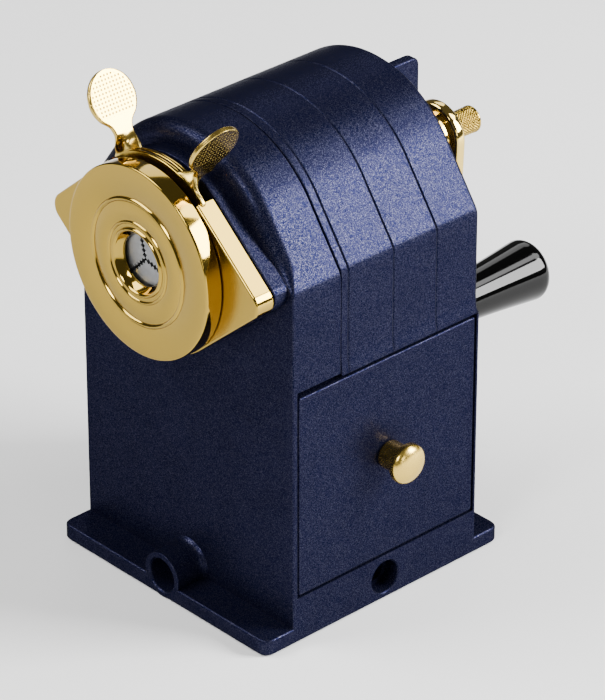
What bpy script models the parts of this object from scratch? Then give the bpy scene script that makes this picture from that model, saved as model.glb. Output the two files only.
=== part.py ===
"""Hand-cranked desk pencil sharpener, built piece by piece.

Sizes are in millimetres and are turned into metres where a mesh is made. X runs across the
body, Y from the front wall to the crank at the rear, Z up. The origin is the middle of the
base's underside. Heights are given from the underside, depths from the front wall's face.
"""

from math import asin, atan2, cos, hypot, pi, radians, sin, tan

import bmesh
import bpy
from mathutils import Matrix, Vector

MM = 0.001

# ---- overall sizes ----
WIDTH = 60.0            # across the side walls
DEPTH = 48.5            # front wall face to rear wall face
AXIS_Z = 75.6           # height of the pencil and crank axis
VAULT_Z = 73.5          # centre height of the rounded hood
VAULT_R = 25.9          # outside radius of the rounded hood
SLOPE = radians(54.6)   # slope of the hood's flat flanks
WALL = 3.2              # cast walls of the body
HOOD_WALL = 2.2         # cast walls of the hood
FIT_GAP = 0.3           # between pieces that touch or are fastened
RUN_GAP = 0.3           # radial running clearance

# ---- base and flange ----
FLANGE_OUT = 7.2
FLANGE_T = 3.4
FLANGE_CORNER = 1.5
DRAWER_FLOOR_Z = 9.9    # top of the solid base under the drawer
BAY_TOP_Z = 54.2        # top of the drawer bay, bottom edge of the hood
CLAMP_BORE = 3.5        # radius of the two clamp sockets
CLAMP_Z = 4.8
CLAMP_TUBE = 4.8        # outer radius of the front socket's tube
CLAMP_DEPTH = 13.0
PLATE_T = 1.2
PLATE_INSET = 5.0
PLATE_SIDE = 12.0
PLATE_FRONT = 12.0
SCREW_R = 1.4

# ---- front bulkhead and boss ----
BULK_DEPTH = 12.2       # front casting above the bay, up to the bold seam
SEAM = 0.4
BOSS_OUT = 3.1
FRONT_WALL = 3.0
ENTRY_R = 5.5
DIAMOND_R = 19.8        # circle inside the diamond plate
DIAMOND_HALF = 28.7     # half width of the diamond plate
DIAMOND_CORNER = 3.1

# ---- rear bearing ----
REAR_WALL = 2.6
BEARING_R = 9.0
BEARING_OUT = 11.0
RIB_T = 2.4
RIB_TOP_Z = 94.9
BUSH_WALL = 1.4

# ---- drawer ----
PANEL_T = 2.9
PANEL_GAP = 0.45
PANEL_EDGE_FRONT = 1.5
PANEL_EDGE_REAR = 0.9
TRAY_WALL = 1.4
TRAY_TOP_Z = 50.0
TRAY_GAP = 0.8
KNOB_Z = 32.8
KNOB_STEM_R = 2.9
KNOB_STEM_L = 4.2
KNOB_HEAD_R = 4.1
KNOB_HEAD_T = 2.8

# ---- cutter head: the axes meet at an apex behind the pencil point ----
CONE = radians(11.0)
PENCIL_R = 4.0
TIP_Y = 36.8
CUTTER_R = 5.0
CUTTER_START = 16.8
CUTTER_END = 34.0
CUTTER_TEETH = 12
CUTTER_TOOTH = 0.6
CUTTER_TWIST = radians(70.0)
PINION_TEETH = 12
RING_TEETH = 36
PINION_T = 3.0
PINION_Y = 10.2         # depth of the pitch point of the gears
RING_START = 8.4
RING_END = 12.0
RING_OUT_R = 19.0
ADDENDUM = 0.6
GEAR_GAP = 0.25
ARBOR_R = 1.4
HEAD_FRONT = 12.4
HEAD_FRONT_T = 2.8
HEAD_FRONT_R = 12.8
HEAD_REAR_Y = 37.7
HEAD_REAR_T = 3.0
HEAD_REAR_R = 11.0
HEAD_HUB_R = 5.6
HEAD_HUB_END = 45.0
TROUGH_IN = 5.4
TROUGH_OUT = 8.0
TROUGH_HALF = radians(62.0)
GUIDE_R = 4.6

# ---- crank ----
SHAFT_R = 3.2
SHAFT_BORE = 1.4
SHAFT_START = 41.4
SHAFT_SUNK = 0.2        # the shaft's end, below the arm's rear face
WASHER_T = 2.2
WASHER_R = 4.7
ARM_BOSS_R = 5.4
ARM_HEAD_R = 6.9
ARM_REACH = 16.4        # the hood's rear face to the arm
ARM_T = 2.6
ARM_FRONT = DEPTH + ARM_REACH
ARM_LOW_R = 5.0
CRANK_THROW = 40.2
PIN_R = 1.5
HANDLE_GAP = 0.6
HANDLE_L = 25.9
HANDLE_START = ARM_FRONT + ARM_T + HANDLE_GAP
HANDLE_END = HANDLE_START + HANDLE_L
SHAFT_END = ARM_FRONT + ARM_T - SHAFT_SUNK
HANDLE_R0 = 4.4
HANDLE_R1 = 6.5
HANDLE_ROUND = 1.8
STOP_R = 1.0
STOP_START = 37.0
ADJUST_R = 2.8
ADJUST_GAP = 0.4
ADJUST_L = 8.0
ADJUST_START = ARM_FRONT + ARM_T + ADJUST_GAP
ADJUST_END = ADJUST_START + ADJUST_L

# ---- carriage ----
HOUSING_BACK = -3.4
HOUSING_FRONT = -7.8
POCKET_R = 18.0
POCKET_FLOOR = 0.8
NOTCH_HALF = 12.5
NOTCH_FROM = 12.5       # height of the notch above the axis
DISC_R = 19.5
DISC_FRONT = -11.8
DISC_FACE_T = 1.6
DISC_CAVITY = 16.8
SPIGOT_L = 0.9
HOLE_R = 5.2
HOLE_RIM_R = 6.4
ROD_X = 23.4
ROD_R = 2.0
ROD_START = -6.8
ROD_END = 44.8
COLLAR_WALL = 1.0
COLLAR_R = ROD_R + COLLAR_WALL
COLLAR_T = 2.0
COLLAR_Y = 42.3
SPRING_WIRE = 0.35
SPRING_GAP = 0.3
SPRING_R = ROD_R + SPRING_GAP + SPRING_WIRE
SPRING_TURNS = 7

# ---- jaws and levers ----
JAW_T = 1.2
JAW_FRONT = -9.6
JAW_PIVOT = 9.0
JAW_DRIVE = 14.8
JAW_PIN_R = 1.0
JAW_REACH = 11.0
JAW_TAIL_HALF = 1.9
JAW_EDGE = 0.15
LEVER_T = 1.0
LEVER_IN = 11.5
LEVER_OUT = 17.5
LEVER_CREST = 20.4
LEVER_ANGLE = 28.0
LEVER_REAR_FRONT = -5.6   # front face of the rear lever's ring
LEVER_STEP = 1.3          # the other ring lies this much further forward
NECK_HALF = 2.6
PAD_R = 5.4
PAD_DIST = 30.3
PAD_Y = -4.9
PAD_T = 1.1

# ---- places worked out from the sizes ----
HALF_W = WIDTH / 2
FRONT_Y = -DEPTH / 2
SLOPE_FOOT = (VAULT_R * sin(SLOPE), VAULT_Z + VAULT_R * cos(SLOPE))
SHOULDER_Z = SLOPE_FOOT[1] - (HALF_W - SLOPE_FOOT[0]) * tan(SLOPE)
CUTTER_TIP_D = CUTTER_R / cos(CONE)
APEX_Y = TIP_Y + CUTTER_TIP_D / tan(CONE)
PINION_CONE = atan2(sin(CONE), RING_TEETH / PINION_TEETH - cos(CONE))
RING_CONE = PINION_CONE + CONE
KNOB_Y = (PANEL_EDGE_FRONT + DEPTH - PANEL_EDGE_REAR) / 2
LEVER_FRONT_FRONT = LEVER_REAR_FRONT - LEVER_STEP


def depth(y):
    """Model Y of a depth measured from the front wall's face."""
    return FRONT_Y + y


def polar(radius, angle):
    return radius * cos(angle), radius * sin(angle)


# ---------------------------------------------------------------- modelling helpers

def clear_scene():
    for thing in list(bpy.data.objects):
        bpy.data.objects.remove(thing, do_unlink=True)


def finish_material(name, colour, roughness, metallic):
    material = bpy.data.materials.new(name)
    material.use_nodes = True
    shader = material.node_tree.nodes["Principled BSDF"]
    shader.inputs["Base Color"].default_value = (*colour, 1.0)
    shader.inputs["Roughness"].default_value = roughness
    shader.inputs["Metallic"].default_value = metallic
    material.diffuse_color = (*colour, 1.0)
    return material


def make_object(name, mesh_data, material=None):
    """Closes a bmesh into an object; without a material it is a cutter or guide."""
    bmesh.ops.remove_doubles(mesh_data, verts=mesh_data.verts, dist=1e-7)
    bmesh.ops.recalc_face_normals(mesh_data, faces=mesh_data.faces)
    mesh = bpy.data.meshes.new(name)
    mesh_data.to_mesh(mesh)
    mesh_data.free()
    piece = bpy.data.objects.new(name, mesh)
    bpy.context.collection.objects.link(piece)
    if material is None:
        piece.hide_render = True
        piece.display_type = 'WIRE'
    else:
        mesh.materials.append(material)
        mesh.shade_smooth()
        mesh.set_sharp_from_angle(angle=radians(35))
    return piece


def prism(name, outline, y0, y1, material=None):
    """An outline in X and Z, carried along Y between two depths."""
    bm = bmesh.new()
    ring = [bm.verts.new((x * MM, depth(y0) * MM, z * MM)) for x, z in outline]
    face = bm.faces.new(ring)
    moved = bmesh.ops.extrude_face_region(bm, geom=[face])
    top = [v for v in moved["geom"] if isinstance(v, bmesh.types.BMVert)]
    bmesh.ops.translate(bm, verts=top, vec=(0, (y1 - y0) * MM, 0))
    return make_object(name, bm, material)


def block(name, x, y, z, material=None, corner=0.0, edge=0.0):
    """A block from ranges of X, depth and Z, with upright corners and top edges rounded."""
    bm = bmesh.new()
    bmesh.ops.create_cube(bm, size=1.0)
    size = [b - a for a, b in (x, y, z)]
    middle = [(a + b) / 2 for a, b in (x, y, z)]
    bmesh.ops.scale(bm, verts=bm.verts, vec=[s * MM for s in size])
    bmesh.ops.translate(bm, verts=bm.verts, vec=(middle[0] * MM, depth(middle[1]) * MM, middle[2] * MM))
    if corner:
        upright = [e for e in bm.edges if abs(e.verts[0].co.z - e.verts[1].co.z) > 1e-6]
        bmesh.ops.bevel(bm, geom=upright, offset=corner * MM, segments=4, profile=0.5, affect='EDGES')
    if edge:
        high = max(v.co.z for v in bm.verts) - 1e-6
        rim = [e for e in bm.edges if all(v.co.z > high for v in e.verts)]
        bmesh.ops.bevel(bm, geom=rim, offset=edge * MM, segments=2, profile=0.5, affect='EDGES')
    return make_object(name, bm, material)


def turned(name, profile, material=None, centre=(0.0, AXIS_Z), steps=32, along='Y', closed=False):
    """A profile of (radius, position) turned about a line along Y or X through centre."""
    bm = bmesh.new()
    if along == 'Y':
        points = [(centre[0] + r, depth(p), centre[1]) for r, p in profile]
        origin = (centre[0] * MM, 0, centre[1] * MM)
        axis = (0, 1, 0)
    else:
        points = [(p, depth(centre[0]) + r, centre[1]) for r, p in profile]
        origin = (0, depth(centre[0]) * MM, centre[1] * MM)
        axis = (1, 0, 0)
    verts = [bm.verts.new((x * MM, y * MM, z * MM)) for x, y, z in points]
    pairs = list(zip(verts, verts[1:]))
    if closed:
        pairs.append((verts[-1], verts[0]))
    edges = [bm.edges.new(pair) for pair in pairs]
    bmesh.ops.spin(bm, geom=verts + edges, cent=origin, axis=axis, angle=2 * pi, steps=steps,
                   use_merge=True)
    return make_object(name, bm, material)


def rod(name, radius, y0, y1, material=None, centre=(0.0, AXIS_Z), steps=24, edge=0.0):
    """A plain round bar along Y, with its two end edges broken."""
    profile = [(0, y0), (radius - edge, y0), (radius, y0 + edge), (radius, y1 - edge),
               (radius - edge, y1), (0, y1)]
    if not edge:
        profile = [(0, y0), (radius, y0), (radius, y1), (0, y1)]
    return turned(name, profile, material, centre, steps)


def tube(name, inner, outer, y0, y1, material, centre=(0.0, AXIS_Z), steps=24):
    profile = [(inner, y0), (outer, y0), (outer, y1), (inner, y1)]
    return turned(name, profile, material, centre, steps, closed=True)


def skin(name, loops, material=None):
    """A closed skin over equal loops of points, with flat ends."""
    bm = bmesh.new()
    rings = [[bm.verts.new([c * MM for c in point]) for point in loop] for loop in loops]
    for low, high in zip(rings, rings[1:]):
        for i in range(len(low)):
            j = (i + 1) % len(low)
            bm.faces.new((low[i], low[j], high[j], high[i]))
    bm.faces.new(rings[0][::-1])
    bm.faces.new(rings[-1])
    return make_object(name, bm, material)


def boolean(piece, other, operation):
    modifier = piece.modifiers.new(operation.title() + " " + other.name, 'BOOLEAN')
    modifier.object = other
    modifier.operation = operation
    modifier.solver = 'EXACT'


def cut(piece, *tools):
    for tool in tools:
        boolean(piece, tool, 'DIFFERENCE')


def add(piece, *others):
    for other in others:
        boolean(piece, other, 'UNION')


def joint_empty(name, place, parent=None):
    """An empty on a joint's axis; the pieces of that body hang from it."""
    empty = bpy.data.objects.new(name, None)
    bpy.context.collection.objects.link(empty)
    empty.empty_display_size = 0.01
    x, y, z = place
    here = Vector((x * MM, depth(y) * MM, z * MM))
    empty["place"] = here
    empty.parent = parent
    empty.location = here - Vector(parent["place"]) if parent else here
    return empty


def hang(empty, *pieces):
    """Parents pieces to a joint's empty and keeps them where they are."""
    for piece in pieces:
        piece.data.transform(Matrix.Translation(-Vector(empty["place"])))
        piece.parent = empty


# ---------------------------------------------------------------- outlines

def vault_outline(radius, half_width, floor_z, steps=20):
    """The hood's section: upright sides, flat slopes and a round top, each moved in alike."""
    inset = VAULT_R - radius
    foot_x = radius * sin(SLOPE)
    foot_z = VAULT_Z + radius * cos(SLOPE)
    shoulder = foot_z - (half_width - foot_x) * tan(SLOPE)
    points = [(half_width, floor_z), (half_width, shoulder)]
    for i in range(steps + 1):
        angle = SLOPE * (1 - 2 * i / steps)
        points.append((radius * sin(angle), VAULT_Z + radius * cos(angle)))
    points += [(-half_width, shoulder), (-half_width, floor_z)]
    return points


def diamond_outline(grow=0.0, steps=12):
    """A big circle and two corner circles, joined by the lines that touch them."""
    big = DIAMOND_R + grow
    small = DIAMOND_CORNER + grow
    corner_x = DIAMOND_HALF - DIAMOND_CORNER
    lean = asin((big - small) / corner_x)
    points = []
    for side in (0.0, pi):
        for i in range(steps // 2 + 1):
            angle = side - (pi / 2 - lean) + (pi - 2 * lean) * i / (steps // 2)
            x = small * cos(angle) + (corner_x if side == 0.0 else -corner_x)
            points.append((x, AXIS_Z + small * sin(angle)))
        for i in range(steps + 1):
            angle = side + pi / 2 - lean + 2 * lean * i / steps
            x, z = polar(big, angle)
            points.append((x, AXIS_Z + z))
    return points


def tooth_loop(teeth, pitch_r, tip, root, half_tip, half_pitch, half_root, phase):
    """A gear outline: each tooth has a root, a flank and a tip on either side."""
    points = []
    for i in range(teeth):
        middle = phase + 2 * pi * i / teeth
        for radius, half in ((root, half_root), (tip, half_tip)):
            points.append((radius, middle - half / pitch_r))
        for radius, half in ((tip, half_tip), (root, half_root)):
            points.append((radius, middle + half / pitch_r))
    assert half_tip < half_pitch < half_root or half_tip > half_pitch > half_root
    return [polar(r, a) for r, a in points]


def cutter_frame(distance):
    """Centre and two across directions of a slice of the cutter's axis, from the apex."""
    centre = Vector((0, depth(APEX_Y) - distance * cos(CONE), AXIS_Z + distance * sin(CONE)))
    return centre, Vector((1, 0, 0)), Vector((0, sin(CONE), cos(CONE)))


def cutter_slice(outline, distance, scale=1.0):
    centre, across, up = cutter_frame(distance)
    return [centre + across * (x * scale) + up * (z * scale) for x, z in outline]


def apex_distance(y):
    """Distance from the apex, along the cutter's axis, of the point at a depth."""
    return (APEX_Y - y) / cos(CONE)


def circle(radius, steps):
    return [polar(radius, 2 * pi * i / steps) for i in range(steps)]


# ---------------------------------------------------------------- fixed body

def main_body(paint):
    """Flange, drawer bay and front bulkhead with its boss, cast in one."""
    body = block("main_body", (-HALF_W, HALF_W), (-FLANGE_OUT, DEPTH + FLANGE_OUT), (0, FLANGE_T), paint,
                 corner=FLANGE_CORNER, edge=0.5)
    bay = block("bay_form", (-HALF_W, HALF_W), (0, DEPTH), (0.6, BAY_TOP_Z))
    bulkhead = prism("bulkhead_form", vault_outline(VAULT_R, HALF_W, BAY_TOP_Z - 3.0), 0, BULK_DEPTH)
    boss = prism("boss_form", diamond_outline(-0.2), -BOSS_OUT, FRONT_WALL - 0.5)
    socket = rod("socket_form", CLAMP_TUBE, -FLANGE_OUT, 2.0, centre=(0.0, CLAMP_Z), steps=32)
    add(body, bay, bulkhead, boss, socket)
    inner_x = HALF_W - WALL
    hollow = block("bay_hollow", (-inner_x, HALF_W + 1), (WALL, DEPTH - WALL),
                   (DRAWER_FLOOR_Z, BAY_TOP_Z - 2.0))
    well = block("bay_well", (-inner_x, inner_x), (BULK_DEPTH + 1.5, DEPTH - WALL),
                 (BAY_TOP_Z - 4, BAY_TOP_Z + 1))
    rebate = block("panel_rebate", (HALF_W - PANEL_T - FIT_GAP, HALF_W + 1),
                   (PANEL_EDGE_FRONT - PANEL_GAP, DEPTH - PANEL_EDGE_REAR + PANEL_GAP),
                   (DRAWER_FLOOR_Z, BAY_TOP_Z + 1))
    seat_from = RING_START - FIT_GAP
    seat_r = RING_OUT_R + FIT_GAP
    chamber_r = RING_OUT_R - 3.0
    entry = turned("entry_form", [(0, -BOSS_OUT - 1), (ENTRY_R, -BOSS_OUT - 1), (ENTRY_R, FRONT_WALL),
                                  (chamber_r, FRONT_WALL), (chamber_r, seat_from), (seat_r, seat_from),
                                  (seat_r, BULK_DEPTH + 1), (0, BULK_DEPTH + 1)], steps=40)
    clamp_front = rod("clamp_front", CLAMP_BORE, -FLANGE_OUT - 1, CLAMP_DEPTH - FLANGE_OUT,
                      centre=(0.0, CLAMP_Z), steps=32)
    clamp_side = turned("clamp_side", [(0, HALF_W - CLAMP_DEPTH), (CLAMP_BORE, HALF_W - CLAMP_DEPTH),
                                       (CLAMP_BORE, HALF_W + 1), (0, HALF_W + 1)],
                        centre=(DEPTH / 2, CLAMP_Z), steps=32, along='X')
    plate_seat = block("plate_seat", (-HALF_W + PLATE_INSET - FIT_GAP, 12.0 + FIT_GAP),
                       (12.0 - FIT_GAP, DEPTH - PLATE_INSET + FIT_GAP), (-1, PLATE_T + FIT_GAP))
    cut(body, hollow, well, rebate, entry, clamp_front, clamp_side, plate_seat)
    for side in (-1, 1):
        cut(body, rod(f"rod_hole_{side}", bush_outer() + 0.2, -BOSS_OUT - 1, BULK_DEPTH + 1,
                      centre=(side * ROD_X, AXIS_Z)))
    for i, (x, y) in enumerate(screw_places()):
        cut(body, upright_rod(f"screw_hole_{i}", SCREW_R - 0.2 + FIT_GAP, x, y, PLATE_T, 7.2))
    return body


def bush_outer():
    return ROD_R + RUN_GAP + 0.7


def screw_places():
    xs = (-HALF_W + PLATE_INSET + 3.5, 12.0 - 3.5)
    ys = (12.0 + 3.5, DEPTH - PLATE_INSET - 3.5)
    return [(x, y) for x in xs for y in ys]


def upright_rod(name, radius, x, y, z0, z1, material=None, steps=16):
    bm = bmesh.new()
    bmesh.ops.create_cone(bm, cap_ends=True, segments=steps, radius1=radius * MM, radius2=radius * MM,
                          depth=(z1 - z0) * MM)
    bmesh.ops.translate(bm, verts=bm.verts, vec=(x * MM, depth(y) * MM, (z0 + z1) / 2 * MM))
    return make_object(name, bm, material)


def rear_hood(paint):
    """The vaulted cover behind the bold seam, with the rear bearing's boss and rib."""
    start = BULK_DEPTH + SEAM
    hood = prism("rear_hood", vault_outline(VAULT_R, HALF_W, BAY_TOP_Z + FIT_GAP), start, DEPTH, paint)
    inner = vault_outline(VAULT_R - HOOD_WALL, HALF_W - HOOD_WALL, BAY_TOP_Z - 5)
    add(hood, rod("bearing_form", BEARING_R, DEPTH - 1, DEPTH + BEARING_OUT, steps=40, edge=0.6),
        block("rib_form", (-RIB_T / 2, RIB_T / 2), (DEPTH - 1, DEPTH + BEARING_OUT + 0.4),
              (AXIS_Z + 5, RIB_TOP_Z), edge=0.5))
    cut(hood, prism("hood_hollow", inner, start - 1, DEPTH - REAR_WALL),
        rod("bearing_bore", SHAFT_R + RUN_GAP + BUSH_WALL + 0.2, DEPTH - REAR_WALL - 1,
            DEPTH + BEARING_OUT + 2, steps=32))
    return hood


def ring_gear(steel):
    """Internal gear; its teeth shrink towards the apex where the axes meet."""
    ring = rod("ring_gear", RING_OUT_R, RING_START, RING_END, steel, steps=40)
    reach = APEX_Y - PINION_Y
    pitch_r = reach * tan(RING_CONE)
    quarter = pi * pitch_r / RING_TEETH / 2
    outline = tooth_loop(RING_TEETH, pitch_r, pitch_r + ADDENDUM + GEAR_GAP, pitch_r - ADDENDUM,
                         quarter * 0.80, quarter * 1.12, quarter * 1.5, pi / 2)
    loops = []
    for y in (RING_START - 1, RING_END + 1):
        scale = (APEX_Y - y) / reach
        loops.append([(x * scale, depth(y), AXIS_Z + z * scale) for x, z in outline])
    cut(ring, skin("ring_teeth", loops))
    return ring


def base_plate(steel, dark):
    plate = block("base_plate", (-HALF_W + PLATE_INSET, PLATE_SIDE), (PLATE_FRONT, DEPTH - PLATE_INSET),
                  (0.0, PLATE_T), steel)
    pieces = [plate]
    for i, (x, y) in enumerate(screw_places()):
        cut(plate, upright_rod(f"plate_hole_{i}", 2.6, x, y, -1, PLATE_T + 1, steps=20))
        pieces.append(upright_rod(f"base_screw_{i + 1}", 2.3, x, y, 0.0, PLATE_T, dark, steps=20))
        add(pieces[-1], upright_rod(f"screw_shank_{i}", SCREW_R - 0.2, x, y, 0.5, 7.0))
    return pieces


# ---------------------------------------------------------------- drawer

def drawer(paint, gold, plastic, steel):
    back_x = HALF_W - PANEL_T
    y0 = PANEL_EDGE_FRONT
    y1 = DEPTH - PANEL_EDGE_REAR
    z0 = DRAWER_FLOOR_Z + PANEL_GAP
    z1 = BAY_TOP_Z - PANEL_GAP
    panel = block("drawer_front", (back_x, HALF_W), (y0, y1), (z0, z1), paint)
    ty = (WALL + TRAY_GAP, DEPTH - WALL - TRAY_GAP)
    tx = (-HALF_W + WALL + TRAY_GAP, back_x - FIT_GAP)
    tray = block("drawer_tray", tx, ty, (z0, TRAY_TOP_Z), plastic, corner=1.0)
    inside = block("tray_hollow", (tx[0] + TRAY_WALL, tx[1] - TRAY_WALL),
                   (ty[0] + TRAY_WALL, ty[1] - TRAY_WALL),
                   (z0 + TRAY_WALL, TRAY_TOP_Z + 1), corner=0.6)
    cut(tray, inside)
    stem_x = HALF_W + FIT_GAP
    head_x = stem_x + KNOB_STEM_L
    end_x = head_x + KNOB_HEAD_T
    profile = [(0, stem_x), (KNOB_STEM_R, stem_x), (KNOB_STEM_R, head_x), (KNOB_HEAD_R - 0.4, head_x),
               (KNOB_HEAD_R, head_x + 0.35), (KNOB_HEAD_R, head_x + 0.9)]
    for i in range(1, 5):
        angle = i * pi / 8
        profile.append((KNOB_HEAD_R * cos(angle) ** 0.6, head_x + 0.9 + (KNOB_HEAD_T - 0.9) * sin(angle)))
    profile[-1] = (0, end_x)
    knob = turned("drawer_knob", profile, gold, centre=(KNOB_Y, KNOB_Z), steps=28, along='X')
    shank = 1.0
    screw_from = tx[1] - TRAY_WALL - FIT_GAP - 1.2
    screw = turned("drawer_screw", [(0, screw_from), (2.2, screw_from), (2.2, screw_from + 1.2),
                                    (shank, screw_from + 1.2), (shank, stem_x + 3.0), (0, stem_x + 3.0)],
                   steel, centre=(KNOB_Y, KNOB_Z), steps=16, along='X')
    for piece in (panel, tray, knob):
        bore = turned("bore_" + piece.name, [(0, screw_from + 0.5), (shank + FIT_GAP, screw_from + 0.5),
                                             (shank + FIT_GAP, stem_x + 3.3), (0, stem_x + 3.3)],
                      centre=(KNOB_Y, KNOB_Z), steps=16, along='X')
        cut(piece, bore)
    return panel, tray, knob, screw


# ---------------------------------------------------------------- crank and cutter

def cutter_head(alloy):
    """The turning head: a front ring, a trough below the pencil and a rear hub."""
    head = rod("cutter_head", HEAD_FRONT_R, HEAD_FRONT, HEAD_FRONT + HEAD_FRONT_T, alloy, steps=36)
    rear = rod("head_rear", HEAD_REAR_R, HEAD_REAR_Y, HEAD_REAR_Y + HEAD_REAR_T, steps=36)
    hub = rod("head_hub", HEAD_HUB_R, HEAD_REAR_Y + 1, HEAD_HUB_END, steps=28)
    arc = [-pi / 2 - TROUGH_HALF + 2 * TROUGH_HALF * i / 8 for i in range(9)]
    outline = [polar(TROUGH_OUT, a) for a in arc] + [polar(TROUGH_IN, a) for a in reversed(arc)]
    trough = prism("head_trough", [(x, AXIS_Z + z) for x, z in outline], HEAD_FRONT + 1, HEAD_REAR_Y + 1)
    add(head, rear, hub, trough)
    cut(head, rod("pencil_guide", GUIDE_R, HEAD_FRONT - 1, HEAD_FRONT + HEAD_FRONT_T + 1),
        rod("shaft_seat", SHAFT_R + FIT_GAP, SHAFT_START - FIT_GAP, HEAD_HUB_END + 1),
        rod("stop_hole", STOP_R + RUN_GAP, HEAD_REAR_Y - 1, SHAFT_START + 1, steps=16),
        skin("arbor_hole", [cutter_slice(circle(ARBOR_R + RUN_GAP, 16), apex_distance(HEAD_FRONT - 2)),
                            cutter_slice(circle(ARBOR_R + RUN_GAP, 16), apex_distance(HEAD_REAR_Y + 2.4))]))
    return head


def helical_cutter(steel):
    start = apex_distance(CUTTER_START)
    end = apex_distance(CUTTER_END)
    loops = []
    layers = 10
    for i in range(layers + 1):
        share = i / layers
        outline = []
        for k in range(CUTTER_TEETH):
            base = 2 * pi * k / CUTTER_TEETH + CUTTER_TWIST * share
            outline.append(polar(CUTTER_R, base))
            outline.append(polar(CUTTER_R - CUTTER_TOOTH, base + 0.06))
            outline.append(polar(CUTTER_R - CUTTER_TOOTH * 0.7, base + pi / CUTTER_TEETH))
        loops.append(cutter_slice(outline, start + (end - start) * share))
    cutter = skin("helical_cutter", loops, steel)
    bore = circle(ARBOR_R + RUN_GAP, 16)
    cut(cutter, skin("cutter_bore", [cutter_slice(bore, start + 2), cutter_slice(bore, end - 2)]))
    return cutter


def pinion_gear(steel):
    reach = (APEX_Y - PINION_Y) / cos(RING_CONE) * cos(PINION_CONE)
    pitch_r = reach * tan(PINION_CONE)
    quarter = pi * pitch_r / PINION_TEETH / 2
    outline = tooth_loop(PINION_TEETH, pitch_r, pitch_r + ADDENDUM, pitch_r - ADDENDUM - GEAR_GAP,
                         quarter * 0.42, quarter * 0.80, quarter * 1.2, pi / 2)
    loops = [cutter_slice(outline, d, d / reach) for d in (reach + PINION_T / 2, reach - PINION_T / 2)]
    pinion = skin("pinion_gear", loops, steel)
    bore = circle(ARBOR_R + RUN_GAP, 16)
    ends = [cutter_slice(bore, reach + PINION_T), cutter_slice(bore, reach - PINION_T)]
    cut(pinion, skin("pinion_bore", ends))
    return pinion


def crank_parts(gold, steel, black):
    shaft = tube("crankshaft", SHAFT_BORE, SHAFT_R, SHAFT_START, SHAFT_END, steel, steps=28)
    washer_start = DEPTH + BEARING_OUT + FIT_GAP
    washer = tube("thrust_washer", SHAFT_R + FIT_GAP, WASHER_R, washer_start, washer_start + WASHER_T, steel,
                  steps=28)
    low = AXIS_Z - CRANK_THROW
    lean = asin((ARM_HEAD_R - ARM_LOW_R) / CRANK_THROW)
    outline = []
    for i in range(15):
        x, z = polar(ARM_HEAD_R, -lean + (pi + 2 * lean) * i / 14)
        outline.append((x, AXIS_Z + z))
    for i in range(9):
        x, z = polar(ARM_LOW_R, pi + lean + (pi - 2 * lean) * i / 8)
        outline.append((x, low + z))
    arm = prism("crank_arm", outline, ARM_FRONT, ARM_FRONT + ARM_T, gold)
    boss_start = washer_start + WASHER_T + FIT_GAP
    add(arm, rod("arm_boss", ARM_BOSS_R, boss_start, ARM_FRONT + 1, steps=28, edge=0.5))
    cut(arm, rod("arm_bore", SHAFT_R + FIT_GAP, boss_start - 1, ARM_FRONT + ARM_T + 1, steps=28),
        rod("arm_pin_hole", PIN_R + 0.2, ARM_FRONT - 1, ARM_FRONT + ARM_T + 1, centre=(0, low), steps=16))
    pin = rod("handle_pin", PIN_R, ARM_FRONT + 0.2, HANDLE_END - 5, steel, centre=(0, low), steps=16)
    profile = [(0, HANDLE_START), (HANDLE_R0 - 0.5, HANDLE_START), (HANDLE_R0, HANDLE_START + 0.5)]
    centre_y = HANDLE_END - HANDLE_ROUND
    for i in range(5):
        angle = i * pi / 8
        profile.append((HANDLE_R1 - HANDLE_ROUND + HANDLE_ROUND * cos(angle),
                        centre_y + HANDLE_ROUND * sin(angle)))
    profile.append((0, HANDLE_END))
    handle = turned("crank_handle", profile, black, centre=(0, low), steps=32)
    cut(handle, rod("handle_bore", PIN_R + RUN_GAP, HANDLE_START - 1, HANDLE_END - 4.5, centre=(0, low),
                    steps=16))
    return shaft, washer, arm, pin, handle


def cutter_arbor(steel):
    ring = circle(ARBOR_R, 16)
    return skin("cutter_arbor", [cutter_slice(ring, apex_distance(PINION_Y - 4.0)),
                                 cutter_slice(ring, apex_distance(HEAD_REAR_Y + 2.0))], steel)


def adjuster(gold, steel):
    knob = rod("adjuster_knob", ADJUST_R, ADJUST_START, ADJUST_END, gold, steps=24, edge=0.3)
    stop = rod("stop_pin", STOP_R, STOP_START, ADJUST_START - 0.2, steel, steps=12)
    return knob, stop


# ---------------------------------------------------------------- carriage

def chuck_housing(gold):
    housing = prism("chuck_housing", diamond_outline(), HOUSING_FRONT, HOUSING_BACK, gold)
    floor_y = HOUSING_BACK - POCKET_FLOOR
    pocket = turned("pocket_form", [(0, HOUSING_FRONT - 1), (POCKET_R, HOUSING_FRONT - 1),
                                    (POCKET_R, floor_y), (HOLE_RIM_R, floor_y),
                                    (HOLE_RIM_R, HOUSING_BACK + 1), (0, HOUSING_BACK + 1)],
                    steps=40)
    cut(housing, pocket,
        block("notch", (-NOTCH_HALF, NOTCH_HALF), (HOUSING_FRONT - 1, HOUSING_BACK + 1),
              (AXIS_Z + NOTCH_FROM, AXIS_Z + 30)))
    for side in (-1, 1):
        cut(housing, rod(f"rod_seat_{side}", ROD_R + 0.2, ROD_START - 0.2, HOUSING_BACK + 1,
                         centre=(side * ROD_X, AXIS_Z)))
    for name, x, z in jaw_places(JAW_PIVOT):
        cut(housing, rod("housing_pin_" + name, JAW_PIN_R + 0.15, HOUSING_BACK - 2, HOUSING_BACK + 1,
                         centre=(x, z), steps=16))
    return housing


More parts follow.
